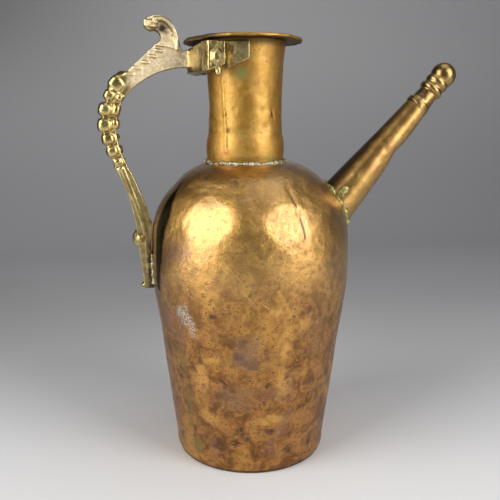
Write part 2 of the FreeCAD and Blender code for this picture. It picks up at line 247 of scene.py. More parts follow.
def turned_sheet(axis, outline, wall, around, shape=None, drift=None):
    """A sheet-metal shell turned from an outline of (station, radius) points: an outer skin with its own
    shape, and an inner skin a wall thinner, closed at both ends. shape(points, turn, station) says how far the
    outer skin stands out, and drift is how far each ring lies off the axis, across it."""
    outline = np.asarray(outline, float)
    rings = len(outline)
    normal = outward(outline)
    s, r, turn = lathe(outline, around)
    off = np.zeros((rings, 1, 1)) if drift is None else np.asarray(drift)[:, None, None]
    if shape is not None:
        plain = axis.at(s, r, turn) + off * axis.across
        lift = shape(plain.reshape(-1, 3), turn.ravel(), s.ravel()).reshape(s.shape)
        s = s + lift * normal[:, :1]
        r = r + lift * normal[:, 1:]
    outer = axis.at(s, r, turn) + off * axis.across
    inner = axis.at(s - wall * normal[:, :1], r - wall * normal[:, 1:], turn) + off * axis.across
    points = np.vstack([outer.reshape(-1, 3), inner.reshape(-1, 3)])
    n = rings * around
    last = n - around
    faces = [
        grid_faces(rings, around),
        grid_faces(rings, around, n)[:, ::-1],
        ring_band(n, 0, around),
        ring_band(last, n + last, around),
    ]
    return points, np.vstack(faces)


def turned_ring(axis, outline, around, shape=None):
    """A solid ring turned from a closed outline of (station, radius) points."""
    outline = np.asarray(outline, float)
    rings = len(outline)
    s, r, turn = lathe(outline, around)
    points = axis.at(s, r, turn).reshape(-1, 3)
    if shape is not None:
        points = shape(points, turn.ravel(), s.ravel())
    return points, np.vstack([grid_faces(rings, around), ring_band((rings - 1) * around, 0, around)])


def spline(knots, count):
    """A smooth curve through knots, evenly spaced by knot, as count points (Catmull-Rom)."""
    knots = np.asarray(knots, float)
    ends = np.vstack([2 * knots[0] - knots[1], knots, 2 * knots[-1] - knots[-2]])
    gaps = np.linalg.norm(np.diff(knots, axis=0), axis=1)
    reach = np.concatenate([[0], np.cumsum(gaps)])
    u = np.linspace(0, reach[-1], count)
    i = np.clip(np.searchsorted(reach, u, "right") - 1, 0, len(gaps) - 1)
    t = ((u - reach[i]) / gaps[i])[:, None]
    p0, p1, p2, p3 = ends[i], ends[i + 1], ends[i + 2], ends[i + 3]
    return 0.5 * (
        2 * p1 + (p2 - p0) * t + (2 * p0 - 5 * p1 + 4 * p2 - p3) * t**2 + (3 * p1 - p0 - 3 * p2 + p3) * t**3
    )


def turned_solid(axis, outline, around, shape=None):
    """A solid turned from an outline of (station, radius) points that starts and ends on the axis."""
    outline = np.asarray(outline, float)
    middle = outline[1:-1]
    rings = len(middle)
    s, r, turn = lathe(middle, around)
    ends = axis.point + outline[[0, -1], :1] * axis.along
    points = np.vstack([axis.at(s, r, turn).reshape(-1, 3), ends])
    if shape is not None:
        station = np.append(s.ravel(), outline[[0, -1], 0])
        points = shape(points, np.append(turn.ravel(), [0, 0]), station)
    tip = rings * around
    faces = grid_faces(rings, around).tolist()
    faces += ring_fan(0, tip, around)[:, ::-1].tolist()
    faces += ring_fan(tip - around, tip + 1, around).tolist()
    return points, faces


# How far the domed end of a bar stands out, in radii.
DOME = 0.6


def tube(path, radius, around, closed=False):
    """A round bar along a path, with a radius at each point; its ends are domed, or it joins itself."""
    path = np.asarray(path, float)
    count = len(path)
    radius = np.broadcast_to(radius, count)
    if closed:
        way = unit(np.roll(path, -1, 0) - np.roll(path, 1, 0))
    else:
        way = unit(np.gradient(path, axis=0))
    side = np.zeros_like(path)
    ahead = np.cross(way[0], [0.3, 0.9, 0.2])
    for i in range(count):
        ahead = unit(ahead - (ahead @ way[i]) * way[i])
        side[i] = ahead
    third = np.cross(way, side)
    turn = np.arange(around) / around * TAU
    if closed:
        slip = math.atan2(side[0] @ third[-1], side[0] @ side[-1])
        twist = np.linspace(0, slip, count)
    else:
        twist = np.zeros(count)
    angle = turn[None] + twist[:, None]
    out = np.cos(angle)[..., None] * side[:, None] + np.sin(angle)[..., None] * third[:, None]
    points = (path[:, None] + radius[:, None, None] * out).reshape(-1, 3)
    faces = grid_faces(count, around).tolist()
    tip = count * around
    if closed:
        return points, faces + ring_band(tip - around, 0, around).tolist()
    ends = np.stack([path[0] - way[0] * radius[0] * DOME, path[-1] + way[-1] * radius[-1] * DOME])
    faces += ring_fan(0, tip, around)[:, ::-1].tolist()
    faces += ring_fan(tip - around, tip + 1, around).tolist()
    return np.vstack([points, ends]), faces


def ball(centre, radii, turn=0.0, rings=14, around=24, fullness=2.0):
    """A rounded lump with half sizes along its own X, Y and Z, turned about the frame's Y axis.
    A fullness of 2 is an ellipsoid, and more fills out its corners."""
    lift = np.linspace(0, math.pi, rings + 2)
    arch = np.stack([-np.cos(lift), np.sin(lift)], -1)
    points, faces = turned_solid(Axis((0, 0, 0), (0, 0, 1), (1, 0, 0)), arch, around)
    size = (np.abs(points) ** fullness).sum(axis=1, keepdims=True) ** (1 / fullness)
    points = points / size * np.asarray(radii)
    c, s = math.cos(turn), math.sin(turn)
    x, y, z = points.T
    spun = np.stack([x * c + z * s, y, z * c - x * s], -1)
    return spun + np.asarray(centre), faces


def node_mesh(node):
    """A CAD node's mesh as points and faces."""
    mesh = frame["nodes"][node].data
    return np.array([v.co for v in mesh.vertices]), [tuple(p.vertices) for p in mesh.polygons]


def together(*meshes):
    """Several (points, faces) meshes as one."""
    points, faces, base = [], [], 0
    for more_points, more_faces in meshes:
        points.append(np.asarray(more_points, float))
        faces += [tuple(int(i) + base for i in face) for face in more_faces]
        base += len(more_points)
    return np.vstack(points), faces


def cast(name, mesh, voxel, rounds, body, slot, *stands_for):
    """A casting: the mesh's parts run into one skin of that grain and smoothed that many rounds."""
    ob = piece(name, *mesh, body, slot, *stands_for)
    remesh = ob.modifiers.new("skin", "REMESH")
    remesh.mode = "VOXEL"
    remesh.voxel_size = voxel
    if rounds:
        ease = ob.modifiers.new("ease", "SMOOTH")
        ease.factor = 0.5
        ease.iterations = rounds
    return apply_modifiers(ob)


def attribute(ob, name, values):
    """Stores one number at each point of a piece for its material to read."""
    layer = ob.data.attributes.new(name, "FLOAT", "POINT")
    layer.data.foreach_set("value", np.asarray(values, np.float32))


# ---------------------------------------------------------------- materials

class Finish:
    """A node-based material in the making. Inputs are numbers, colours or other nodes' outputs."""

    def __init__(self, name):
        self.material = bpy.data.materials.new(name)
        self.material.use_nodes = True
        self.tree = self.material.node_tree
        self.tree.nodes.clear()
        self.place = self.node("ShaderNodeTexCoord").outputs["Object"]

    def node(self, kind, settings=None, **inputs):
        made = self.tree.nodes.new(kind)
        for key, value in (settings or {}).items():
            setattr(made, key, value)
        for key, value in inputs.items():
            self.feed(made.inputs[key.replace("_", " ")], value)
        return made

    def feed(self, socket, value):
        if isinstance(value, bpy.types.NodeSocket):
            self.tree.links.new(value, socket)
        elif isinstance(value, (tuple, list)) and len(value) == 3 and socket.type == "RGBA":
            socket.default_value = (*value, 1)
        else:
            socket.default_value = value

    def noise(self, size, detail=4.0, grain=0.55, warp=0.0, stretch=(1, 1, 1), shift=0.0):
        """Noise from 0 to 1 with lumps about that many millimetres across."""
        at = self.node("ShaderNodeMapping", Vector=self.place, Scale=stretch, Location=(shift, shift, shift))
        return self.node(
            "ShaderNodeTexNoise",
            Vector=at.outputs[0],
            Scale=1 / (size * MM),
            Detail=detail,
            Roughness=grain,
            Distortion=warp,
        ).outputs[0]

    def cells(self, size, blur=0.0, shift=0.0):
        """Distance from scattered points about that many millimetres apart."""
        at = self.node("ShaderNodeMapping", Vector=self.place, Location=(shift, shift, shift)).outputs[0]
        if blur:
            kind = {"Vector": at, "Scale": 0.5 / (size * MM), "Detail": 3.0}
            wander = self.node("ShaderNodeTexNoise", **kind).outputs["Color"]
            centred = self.node("ShaderNodeVectorMath", {"operation": "SUBTRACT"}).inputs
            self.feed(centred[0], wander)
            centred[1].default_value = (0.5, 0.5, 0.5)
            off = self.node("ShaderNodeVectorMath", {"operation": "SCALE"}, Scale=blur * size * MM)
            self.tree.links.new(centred[0].node.outputs[0], off.inputs[0])
            moved = self.node("ShaderNodeVectorMath", {"operation": "ADD"})
            self.tree.links.new(at, moved.inputs[0])
            self.tree.links.new(off.outputs[0], moved.inputs[1])
            at = moved.outputs[0]
        return self.node("ShaderNodeTexVoronoi", Vector=at, Scale=1 / (size * MM)).outputs["Distance"]

    def step(self, value, start, end, low=0.0, high=1.0):
        """Eases from low to high as the value goes from start to end."""
        made = self.node("ShaderNodeMapRange", {"interpolation_type": "SMOOTHSTEP"}, Value=value)
        for key, number in (("From Min", start), ("From Max", end), ("To Min", low), ("To Max", high)):
            made.inputs[key].default_value = number
        return made.outputs[0]

    def calc(self, operation, a, b=0.0, clamp=False):
        made = self.node("ShaderNodeMath", {"operation": operation, "use_clamp": clamp})
        self.feed(made.inputs[0], a)
        self.feed(made.inputs[1], b)
        return made.outputs[0]

    def times(self, a, b):
        return self.calc("MULTIPLY", a, b)

    def total(self, *parts):
        """The sum of (weight, value) pairs."""
        result = None
        for weight, value in parts:
            scaled = self.times(value, weight)
            result = scaled if result is None else self.calc("ADD", result, scaled)
        return result

    def blend(self, share, first, second, mode="MIX"):
        made = self.node("ShaderNodeMix", {"data_type": "RGBA", "blend_type": mode})
        for index, value in ((0, share), (6, first), (7, second)):
            self.feed(made.inputs[index], value)
        return made.outputs[2]

    def read(self, name):
        return self.node("ShaderNodeAttribute", {"attribute_name": name}).outputs["Fac"]

    def height(self):
        return self.node("ShaderNodeSeparateXYZ", Vector=self.place).outputs[2]

    def edges(self):
        """Above a half on convex edges and below it in hollows."""
        return self.node("ShaderNodeNewGeometry").outputs["Pointiness"]

    def line(self, start, end, width, wobble=0.6):
        """1 on a thin straight scratch between two places, 0 off it."""
        start, end = np.asarray(start, float), np.asarray(end, float)
        run = end - start
        jitter = self.node("ShaderNodeTexNoise", Vector=self.place, Scale=140.0, Detail=2.0).outputs["Color"]
        shaken = self.node("ShaderNodeVectorMath", {"operation": "MULTIPLY_ADD"})
        self.feed(shaken.inputs[0], jitter)
        shaken.inputs[1].default_value = [wobble * MM * 2] * 3
        self.feed(shaken.inputs[2], self.place)
        away = self.node("ShaderNodeVectorMath", {"operation": "SUBTRACT"})
        self.feed(away.inputs[0], shaken.outputs[0])
        away.inputs[1].default_value = (start + wobble * MM).tolist()
        along = self.node("ShaderNodeVectorMath", {"operation": "DOT_PRODUCT"})
        self.feed(along.inputs[0], away.outputs[0])
        along.inputs[1].default_value = (run / (run @ run)).tolist()
        share = self.calc("ADD", along.outputs["Value"], 0.0, True)
        reach = self.node("ShaderNodeVectorMath", {"operation": "SCALE"})
        reach.inputs[0].default_value = run.tolist()
        self.feed(reach.inputs["Scale"], share)
        off = self.node("ShaderNodeVectorMath", {"operation": "DISTANCE"})
        self.feed(off.inputs[0], away.outputs[0])
        self.feed(off.inputs[1], reach.outputs[0])
        return self.step(off.outputs["Value"], width * MM, width * MM * 0.35, 0.0, 1.0)

    def bump(self, value, depth, normal=None):
        """Relief of that many millimetres; a second relief goes on top of a first."""
        made = self.node("ShaderNodeBump", Height=value, Distance=depth * MM)
        made.inputs["Strength"].default_value = 1.0
        if normal is not None:
            self.feed(made.inputs["Normal"], normal)
        return made.outputs[0]

    def done(self, colour, roughness, normal, metallic=1.0, coat=0.0, coat_roughness=0.2):
        shader = self.node("ShaderNodeBsdfPrincipled", Metallic=metallic, Roughness=roughness, Normal=normal)
        self.feed(shader.inputs["Base Color"], colour)
        self.feed(shader.inputs["Coat Weight"], coat)
        shader.inputs["Coat Roughness"].default_value = coat_roughness
        out = self.node("ShaderNodeOutputMaterial")
        self.tree.links.new(shader.outputs[0], out.inputs["Surface"])
        return self.material


def dress(ob, material):
    """Gives an object one material for all its faces."""
    for index in range(len(ob.data.materials)):
        ob.data.materials[index] = material
    if not ob.data.materials:
        ob.data.materials.append(material)


# ---------------------------------------------------------------- places

def middle(node):
    low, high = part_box(node)
    return (np.array(low) + np.array(high)) / 2


UP, RIGHT = (0, 0, 1), (1, 0, 0)
WALL = 1.3 * MM
SPOUT_FOOT = mm(74.4, 0, 207.7)
SPOUT_WAY = np.array(frame["record"]["behaviour"]["joints"][0]["axis"], float)
SPOUT_UNDER = (SPOUT_WAY[2], 0, -SPOUT_WAY[0])

body_axis = Axis((0, 0, 0), UP, RIGHT)
neck_axis = Axis((middle("neck_tube")[0], 0, 0), UP, RIGHT)
rim_axis = Axis((middle("rim_flange")[0], 0, 0), UP, RIGHT)
spout_axis = Axis(SPOUT_FOOT, SPOUT_WAY, SPOUT_UNDER)
CAMERA_SIDE = math.radians(-90)

body_line = cad_outline("body_shell", body_axis, 0.12, np.linspace(-62.4, 73.2, 500), CAMERA_SIDE)
neck_line = cad_outline("neck_tube", neck_axis, 0.287, np.linspace(-57.3, 57.3, 300), CAMERA_SIDE)
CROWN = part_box("body_shell")[1][2]
FLOOR_OF_WALL = 1.6 * MM
CROWN_EDGE, NECK_HOLE = 35.6 * MM, 28.2 * MM
NECK_FOOT, NECK_TOP = neck_line[0, 0], neck_line[-1, 0]


def on_body(turn, height):
    """The place on the body at a turn in degrees from +X towards +Y and a height in millimetres."""
    radius = np.interp(height * MM, body_line[:, 0], body_line[:, 1])
    return body_axis.at(height * MM, radius, math.radians(turn))


def on_neck(turn, height):
    radius = np.interp(height * MM, neck_line[:, 0], neck_line[:, 1])
    return neck_axis.at(height * MM, radius, math.radians(turn))


def on_spout(turn, station):
    radius = np.interp(station, [-9, 46, 100.5], [18.3, 13.5, 9.7])
    return spout_axis.at(station * MM, radius * MM, math.radians(turn))


# ---------------------------------------------------------------- beaten marks

def to_line(points, start, end):
    """How far each point is from a straight line between two places."""
    run = end - start
    share = np.clip((points - start) @ run / (run @ run), 0, 1)
    return np.linalg.norm(points - start - share[:, None] * run, axis=1)


def dents(points, marks, place):
    """Round dents: marks are (turn, height, radius, depth), in degrees and millimetres."""
    return sum(
        depth * bump(points, place(turn, height), radius * MM) for turn, height, radius, depth in marks
    )


def flats(points, marks, place):
    """Places beaten flat, with a sharp edge."""
    total = np.zeros(len(points))
    for turn, height, radius, depth in marks:
        away = np.linalg.norm(points - place(turn, height), axis=1) / (radius * MM)
        away = away * (1 + 0.2 * noise(points, 10 * MM, 31) + 0.07 * noise(points, 4 * MM, 32))
        total += depth * np.clip(1 - away**2, 0, 1)
    return total


def creases(points, marks, place):
    """Straight creases: marks are (turn, height, turn, height, half width, depth)."""
    total = np.zeros(len(points))
    for turn, height, end_turn, end_height, width, depth in marks:
        away = to_line(points, place(turn, height), place(end_turn, end_height))
        total += depth * np.exp(-((away / (width * MM)) ** 2))
    return total


def stain(points, marks, place):
    """Soft-edged blots from 0 to 1, with ragged outlines."""
    ragged = 1 + 0.35 * noise(points, 5 * MM, 41) + 0.25 * noise(points, 2.4 * MM, 42)
    total = np.zeros(len(points))
    for turn, height, wide, high, strength in marks:
        off = points - place(turn, height)
        around = np.array([-math.sin(math.radians(turn)), math.cos(math.radians(turn)), 0])
        side = off @ around / (wide * MM)
        up = off[:, 2] / (high * MM)
        depth = off @ np.array([around[1], -around[0], 0]) / (40 * MM)
        away = np.sqrt(side**2 + up**2 + depth**2) * ragged
        total = np.maximum(total, strength * (1 - smooth((away - 0.45) / 0.9)))
    return total


BODY_DENTS = [
    (-64, 217, 4.5, 0.55),
    (-80, 210, 3.6, 0.4),
    (-89, 208, 5.0, 0.4),
    (-96, 215, 5.5, 0.45),
    (-76, 184, 3.6, 0.5),
    (-70, 178, 5.0, 0.35),
    (-104, 196, 10, -0.5),
    (-146, 188, 12, 0.7),
    (-105, 104, 12, 0.5),
    (-97, 84, 12, 0.4),
    (-3, 33, 15, 1.1),
    (-20, 95, 16, 0.7),
    (-150, 60, 18, 0.8),
    (-66, 128, 13, 0.5),
    (-60, 190, 12, 0.5),
    (-30, 205, 12, 0.6),
    (20, 150, 20, 0.9),
    (60, 195, 16, 1.2),
    (95, 120, 22, 1.0),
    (140, 80, 18, 0.9),
    (120, 200, 13, 1.0),
    (-175, 110, 16, 0.8),
]
BODY_FLATS = [(-124.6, 204, 18, 1.5), (-80.5, 203, 15.5, 1.35), (70, 203, 17, 1.4), (160, 190, 15, 1.3)]
BODY_CREASES = [
    (-72, 226.7, -71, 210, 1.3, 0.6),
    (-71, 210, -69, 188.5, 1.3, 0.75),
    (-151, 225.4, -119, 226, 2.2, 0.3),
    (-83, 37, -74, 39, 1.6, 0.35),
    (-72, 30, -62, 32, 1.6, 0.35),
    (-112, 126, -86, 131, 2.4, -0.3),
    (80, 214, 96, 182, 1.5, 0.5),
]


def body_shape(points, turn, station):
    """How far the hammered wall stands out from the plain form, never past it by much."""
    near = cells(points, 16 * MM, 5)[0]
    low_near = cells(points, 9 * MM, 6)[0]
    upper = smooth((points[:, 2] - 0.15) / 0.06)
    lift = 0.62 * noise(points, 58 * MM, 1) + 0.3 * noise(points, 24 * MM, 2)
    lift = lift + 0.09 * noise(points, 10 * MM, 3)
    lift += 0.13 * np.minimum(near, 0.8) + (0.05 - 0.03 * upper) * low_near - 0.2
    lift += (0.07 - 0.045 * upper) * noise(points, 5 * MM, 4)
    lift -= dents(points, BODY_DENTS, on_body) + flats(points, BODY_FLATS, on_body)
    lift -= creases(points, BODY_CREASES, on_body)
    ends = smooth((station - FLOOR_OF_WALL) / 0.007) * smooth((CROWN + 0.0006 - station) / 0.0045)
    return np.minimum(lift - 0.35, 0.15) * ends * MM


NECK_DENTS = [
    (-75, 291, 3.4, 0.45),
    (-70, 281, 3.2, 0.5),
    (-66, 269, 3.4, 0.45),
    (-62, 300, 4.4, 0.35),
    (-83, 300, 4.0, 0.25),
    (-72, 262, 5.0, 0.3),
    (-115, 282, 2.0, 0.3),
    (-50, 286, 5.0, 0.4),
    (60, 290, 8, 0.6),
    (120, 270, 7, 0.6),
    (170, 285, 7, 0.5),
]
NECK_CREASES = [
    (-135, 306, -131.6, 278, 1.2, -0.42),
    (-131.6, 278, -127, 250, 1.2, -0.42),
    (-131.5, 303, -128.4, 278, 0.9, 0.4),
    (-128.4, 278, -124, 254, 0.9, 0.4),
    (-53, 281, -50, 275, 0.8, 0.4),
    (-57, 276, -52.5, 279, 0.8, 0.4),
]


def neck_shape(points, turn, station):
    near = cells(points, 7 * MM, 15)[0]
    lift = 0.3 * noise(points, 26 * MM, 11) + 0.07 * noise(points, 9 * MM, 12) + 0.05 * np.minimum(near, 0.8)
    lift += 0.02 * noise(points, 4 * MM, 13) - 0.08
    lift -= dents(points, NECK_DENTS, on_neck) + creases(points, NECK_CREASES, on_neck)
    ends = smooth((station - NECK_FOOT) / 0.003) * smooth((NECK_TOP - station) / 0.003)
    return lift * ends * MM


SPOUT_DENTS = [
    (-80, 46, 4.6, 0.5),
    (-66, 51, 3.6, 0.55),
    (-84, 55, 3.4, 0.45),
    (-25, 60, 7.5, 1.7),
    (20, 60, 8.0, 1.6),
    (-118, 24, 3.0, -0.35),
    (-62, 78, 8.0, 0.3),
    (120, 60, 9.0, 0.6),
]


def spout_shape(points, turn, station):
    lift = 0.2 * noise(points, 24 * MM, 21) + 0.09 * noise(points, 9 * MM, 22)
    lift = lift + 0.03 * noise(points, 4 * MM, 23)
    lift -= dents(points, SPOUT_DENTS, on_spout)
    return lift * smooth((0.096 - station) / 0.008) * MM


# ---------------------------------------------------------------- pieces

def arc(first, passed, last, step):
    """Points along the arc from first through passed to last, a step apart; the first one is left out."""
    first, passed, last = (np.asarray(p, float) for p in (first, passed, last))
    lines = 2 * np.array([passed - first, last - first])
    centre = np.linalg.solve(lines, [passed @ passed - first @ first, last @ last - first @ first])
    spoke = first - centre
    begin = math.atan2(spoke[1], spoke[0])

    def sweep(point):
        return (math.atan2(point[1] - centre[1], point[0] - centre[0]) - begin) % TAU

    whole = sweep(last) if sweep(passed) < sweep(last) else sweep(last) - TAU
    count = max(2, math.ceil(abs(whole) * np.linalg.norm(spoke) / step))
    angle = begin + whole * np.arange(1, count + 1) / count
    return (centre + np.linalg.norm(spoke) * np.stack([np.cos(angle), np.sin(angle)], -1)).tolist()


def straight(first, last, step):
    first, last = np.asarray(first, float), np.asarray(last, float)
    count = max(1, math.ceil(np.linalg.norm(last - first) / step))
    return (first + (last - first) * np.arange(1, count + 1)[:, None] / count).tolist()


def outline(start, *steps, step=1.0):
    """A path in millimetres as metres: each step is a corner, or (point passed, corner) for an arc."""
    path = [list(start)]
    for move in steps:
        if isinstance(move[0], tuple):
            path += arc(path[-1], move[0], move[1], step)
        else:
            path += straight(path[-1], move, step)
    return np.array(path) * MM


def make_body():
    """The beaten body in one sheet, with the spout's hole cut in it."""
    wall = evenly(np.vstack([[FLOOR_OF_WALL, 61.6 * MM], body_line]), 1.9 * MM)
    crown = np.stack([np.full(5, CROWN), np.linspace(CROWN_EDGE, NECK_HOLE, 5)], -1)
    line = np.vstack([wall[:-1], crown])
    drift = np.zeros(len(line))
    drift[-5:] = neck_axis.point[0] * smooth(np.linspace(0, 1, 5))
    mesh = turned_sheet(body_axis, line, WALL, 248, body_shape, drift)
    ob = piece("body_beaten", *mesh, JUG, "copper_body", "body_shell")
    through = [spout_axis.at(s, 0.0, 0.0) for s in (-0.02, 0.0, 0.02)]
    drill = plain_object("drill", *tube(through, 16.4 * MM, 64))
    hole = ob.modifiers.new("hole", "BOOLEAN")
    hole.operation = "DIFFERENCE"
    hole.solver = "MANIFOLD"
    hole.object = drill
    bpy.context.view_layer.update()
    apply_modifiers(ob)
    bpy.data.objects.remove(drill)
    return ob


def make_base():
    """The base sheet, dished a little upwards and beaten."""
    def shape(points, turn, station):
        radius = np.hypot(points[:, 0], points[:, 1])
        dish = 0.5 * smooth((56 * MM - radius) / (50 * MM)) + 0.16 * noise(points, 14 * MM, 51)
        dish += 0.1 * cells(points * [1, 1, 0], 9 * MM, 52)[0]
        points[:, 2] += np.clip(dish, 0, 1) * smooth((58 * MM - radius) / (6 * MM)) * MM
        return points

    line = outline((0, 0), (0, 60.2), ((0.6, 61.6), (1.6, 61.8)), (1.6, 0), step=1.6)
    mesh = turned_solid(body_axis, line, 180, shape)
    return piece("base_sheet", *mesh, JUG, "copper_body", "base_plate")


def make_neck():
    mesh = turned_sheet(neck_axis, evenly(neck_line, 0.95 * MM), WALL, 200, neck_shape)
    return piece("neck_beaten", *mesh, JUG, "neck_brass", "neck_tube")


def make_rim():
    """The flat lip of the mouth, beaten out, with a wavy edge that droops towards the handle."""
    reach = 46.5 * MM
    inner = 30.6 * MM

    def shape(points, turn, station):
        flat = rim_axis.at(np.zeros(len(points)), np.ones(len(points)), turn) - rim_axis.point
        radius = np.hypot(points[:, 0] - rim_axis.point[0], points[:, 1])
        out = np.clip((radius - inner) / (reach - inner), 0, 1)
        shift = (neck_axis.point[0] - rim_axis.point[0]) * (1 - out)
        ring = rim_axis.point + flat * reach
        points[:, 0] += shift
        wave = 0.55 * noise(ring, 17 * MM, 61) + 0.3 * noise(ring, 6 * MM, 62) - 0.3
        droop = 1.5 * smooth((-flat[:, 0] - 0.45) / 0.5)
        pinch = 0.28 * noise(ring, 9 * MM, 63) + 0.14 * noise(ring, 3.6 * MM, 64) - 0.36
        points[:, 2] += (wave - droop) * out**2 * MM + 0.07 * noise(points, 5 * MM, 65) * MM
        points += flat * (pinch * out**2 * MM)[:, None]
        return points

    line = outline(
        (333.9, 30.6),
        (333.7, 31.2),
        (333.7, 42.0),
        (332.9, 45.8),
        ((334.3, 46.5), (335.8, 45.4)),
        (336.0, 40.0),
        (336.0, 31.2),
        (335.7, 30.6),
        step=1.0,
    )
    return piece("rim_beaten", *turned_ring(rim_axis, line, 300, shape), JUG, "neck_brass", "rim_flange")


def make_spout():
    line = outline((-9, 18.3), (46, 13.5), (100.5, 9.7), (103, 7.0), (115, 7.0), step=0.9)
    mesh = turned_sheet(spout_axis, line, WALL, 120, spout_shape)
    return piece("spout_rolled", *mesh, JUG, "spout_copper", "spout_tube")


def make_cap():
    """The slip-on stopper: an askew skirt, a sleeve, two rings and a ball."""
    def shape(points, turn, station):
        away = points - SPOUT_FOOT
        outside = np.hypot(away @ spout_axis.across, away @ spout_axis.third) > 9 * MM
        skew = 2.3 * np.cos(turn) * smooth((0.1075 - station) / 0.006) * outside
        points = points - SPOUT_WAY * (skew * MM)[:, None]
        centre = SPOUT_FOOT + ((points - SPOUT_FOOT) @ SPOUT_WAY)[:, None] * SPOUT_WAY
        out = points - centre
        radius = np.linalg.norm(out, axis=1, keepdims=True)
        skin = (radius[:, 0] > 7.6 * MM) | (station > 0.118)
        above = 0.5 + 0.5 * np.cos(turn)
        tuck = 0.8 * above * smooth((0.106 - station) / 0.003) * (radius[:, 0] > 10.2 * MM)
        worn = (0.12 * noise(points, 6 * MM, 71) + 0.06 * noise(points, 2.6 * MM, 72) - 0.16) * skin - tuck
        return points + out / np.maximum(radius, 1e-6) * (worn * MM)[:, None]

    line = outline(
        (116, 0),
        (116, 7.35),
        (103.3, 7.35),
        (100.8, 10.05),
        (99.6, 10.1),
        (99.5, 10.5),
        (99.9, 10.8),
        (103.0, 10.7),
        ((105.2, 9.5), (107.4, 8.9)),
        (115.6, 8.2),
        (116.4, 8.4),
        ((119.0, 10.2), (121.8, 9.0)),
        ((122.8, 8.8), (123.8, 9.1)),
        ((126.4, 9.9), (129.0, 9.1)),
        (129.6, 8.9),
        (130.2, 9.3),
        ((134.6, 10.4), (145.2, 0)),
        step=0.45,
    )
    return piece("cap_turned", *turned_solid(spout_axis, line, 110, shape), CAP, "cast_brass", "spout_cap")


# Cast beads down the handle: X, height, half thickness, half width, half length, lean in degrees.
BEADS = [
    (-102.4, 300.6, 6.8, 8.3, 6.4, 46),
    (-108.2, 292.2, 5.2, 8.5, 4.6, 30),
    (-111.9, 281.8, 5.9, 9.1, 5.6, 15),
    (-112.6, 270.2, 6.4, 9.1, 6.0, 3),
    (-110.6, 259.8, 5.6, 8.7, 5.0, -9),
    (-107.8, 250.4, 5.4, 8.5, 5.0, -18),
    (-104.4, 242.6, 4.0, 7.7, 3.3, -25),
    (-102.6, 237.4, 3.6, 7.6, 1.3, -25),
]
# The smaller lobes on the inner side of the upper beads.
LOBES = [
    (-101.0, 290.6, 3.4, 8.1, 3.8, 34),
    (-103.9, 281.4, 3.5, 8.4, 5.5, 14),
    (-104.9, 271.2, 3.3, 8.0, 4.6, 3),
]


def beads():
    made = []
    for x, z, thick, wide, half, lean in BEADS + LOBES:
        sizes = mm(thick, wide, half)
        made.append(ball(mm(x, 0, z), sizes, math.radians(lean), 20, 32, 3.0))
    return made


def leaf_ridges():
    """Overlapping leaf ridges down the outer side of the arm, below the thumb-piece."""
    made = []
    for x, z in ((-70.6, 325.2), (-75.6, 321.0), (-81.4, 316.6), (-87.4, 312.4), (-93.2, 308.0)):
        for side in (-1, 1):
            place = mm(x, side * 5.0, z)
            made.append(ball(place, mm(4.4, 2.9, 1.6), math.radians(6), 10, 16, 2.4))
    return made


def thumb_details():
    """The scroll end of the thumb-piece: its flat lobes, the small hook under them and its raised rim."""
    lobes = [ball(mm(-75.4, y, 345.9), mm(6.4, 3.8, 1.9), 0.1) for y in (-4.4, 4.4)]
    lower = [ball(mm(-75.8, y, 342.9), mm(5.6, 3.8, 1.8), 0.1) for y in (-4.6, 4.6)]
    hook = ball(mm(-76.2, 0, 340.4), mm(1.6, 5.0, 1.5))
    edges = []
    for side in (-1, 1):
        knots = [(-74, 347.6), (-67.8, 347.9), (-62.2, 344.4), (-58.4, 338.4), (-56.8, 330.5), (-57.6, 325.5)]
        path = spline([(x * MM, side * 6.9 * MM, z * MM) for x, z in knots], 50)
        edges.append(tube(path, 1.5 * MM, 12))
    return [*lobes, *lower, hook, *edges]


def stem_details():
    """The ridge down each side of the lower bar, the knob and the small lump at the foot."""
    made = []
    for side in (-1, 1):
        knots = [(-101.0, 237), (-96.6, 224), (-90.6, 206), (-86.0, 190), (-84.4, 176), (-83.4, 150)]
        path = spline([(x * MM, side * 4.3 * MM, z * MM) for x, z in knots], 60)
        made.append(tube(path, 2.9 * MM, 8))
    made.append(ball(mm(-89.4, 0, 181.6), mm(6.4, 8.4, 6.0), -0.3, 16, 24, 1.8))
    made.append(ball(mm(-88.0, -3.0, 143.4), mm(2.0, 3.2, 2.0)))
    return made


def handle_core():
    """The CAD handle's form, with the bar pinched between its beads, a thinner thumb-piece, a lower saddle,
    and cheeks that stop short of the strap's arms."""
    points, faces = node_mesh("handle")
    x, y, z = points.T / MM
    beaded = smooth((-96 - x) / 4) * smooth((z - 236) / 4) * smooth((306 - z) / 4)
    thumb = smooth((z - 329.7) / 1.5) * (x < -50)
    points[:, 1] *= 1 - 0.07 * beaded - 0.24 * thumb
    points[:, 0] += 1.6 * MM * beaded * smooth((-106 - x) / 3)
    saddle = smooth((x + 62) / 5) * smooth((-41 - x) / 5) * smooth((z - 321) / 4)
    points[:, 2] -= 3.6 * MM * saddle
    points[:, 2] -= 0.5 * MM * thumb
    inner_x = [-96.5, -98.4, -100.0, -101.4, -102.4, -101.4, -98.0]
    inner = np.interp(z, [236, 243, 251, 260, 270, 282, 292], inner_x)
    points[:, 0] = np.where((z > 236) & (z < 290) & (x > inner) & (x < -90), inner * MM, points[:, 0])
    cheek = (x > -41) & (np.abs(y) > 20)
    points[:, 0] -= 3.0 * MM * (cheek & (x > -26))
    slant = (308.6 + 0.3 * np.clip(x + 38.7, 0, 20)) * MM
    points[:, 2] = np.where(cheek & (points[:, 2] < slant), slant, points[:, 2])
    return points, faces


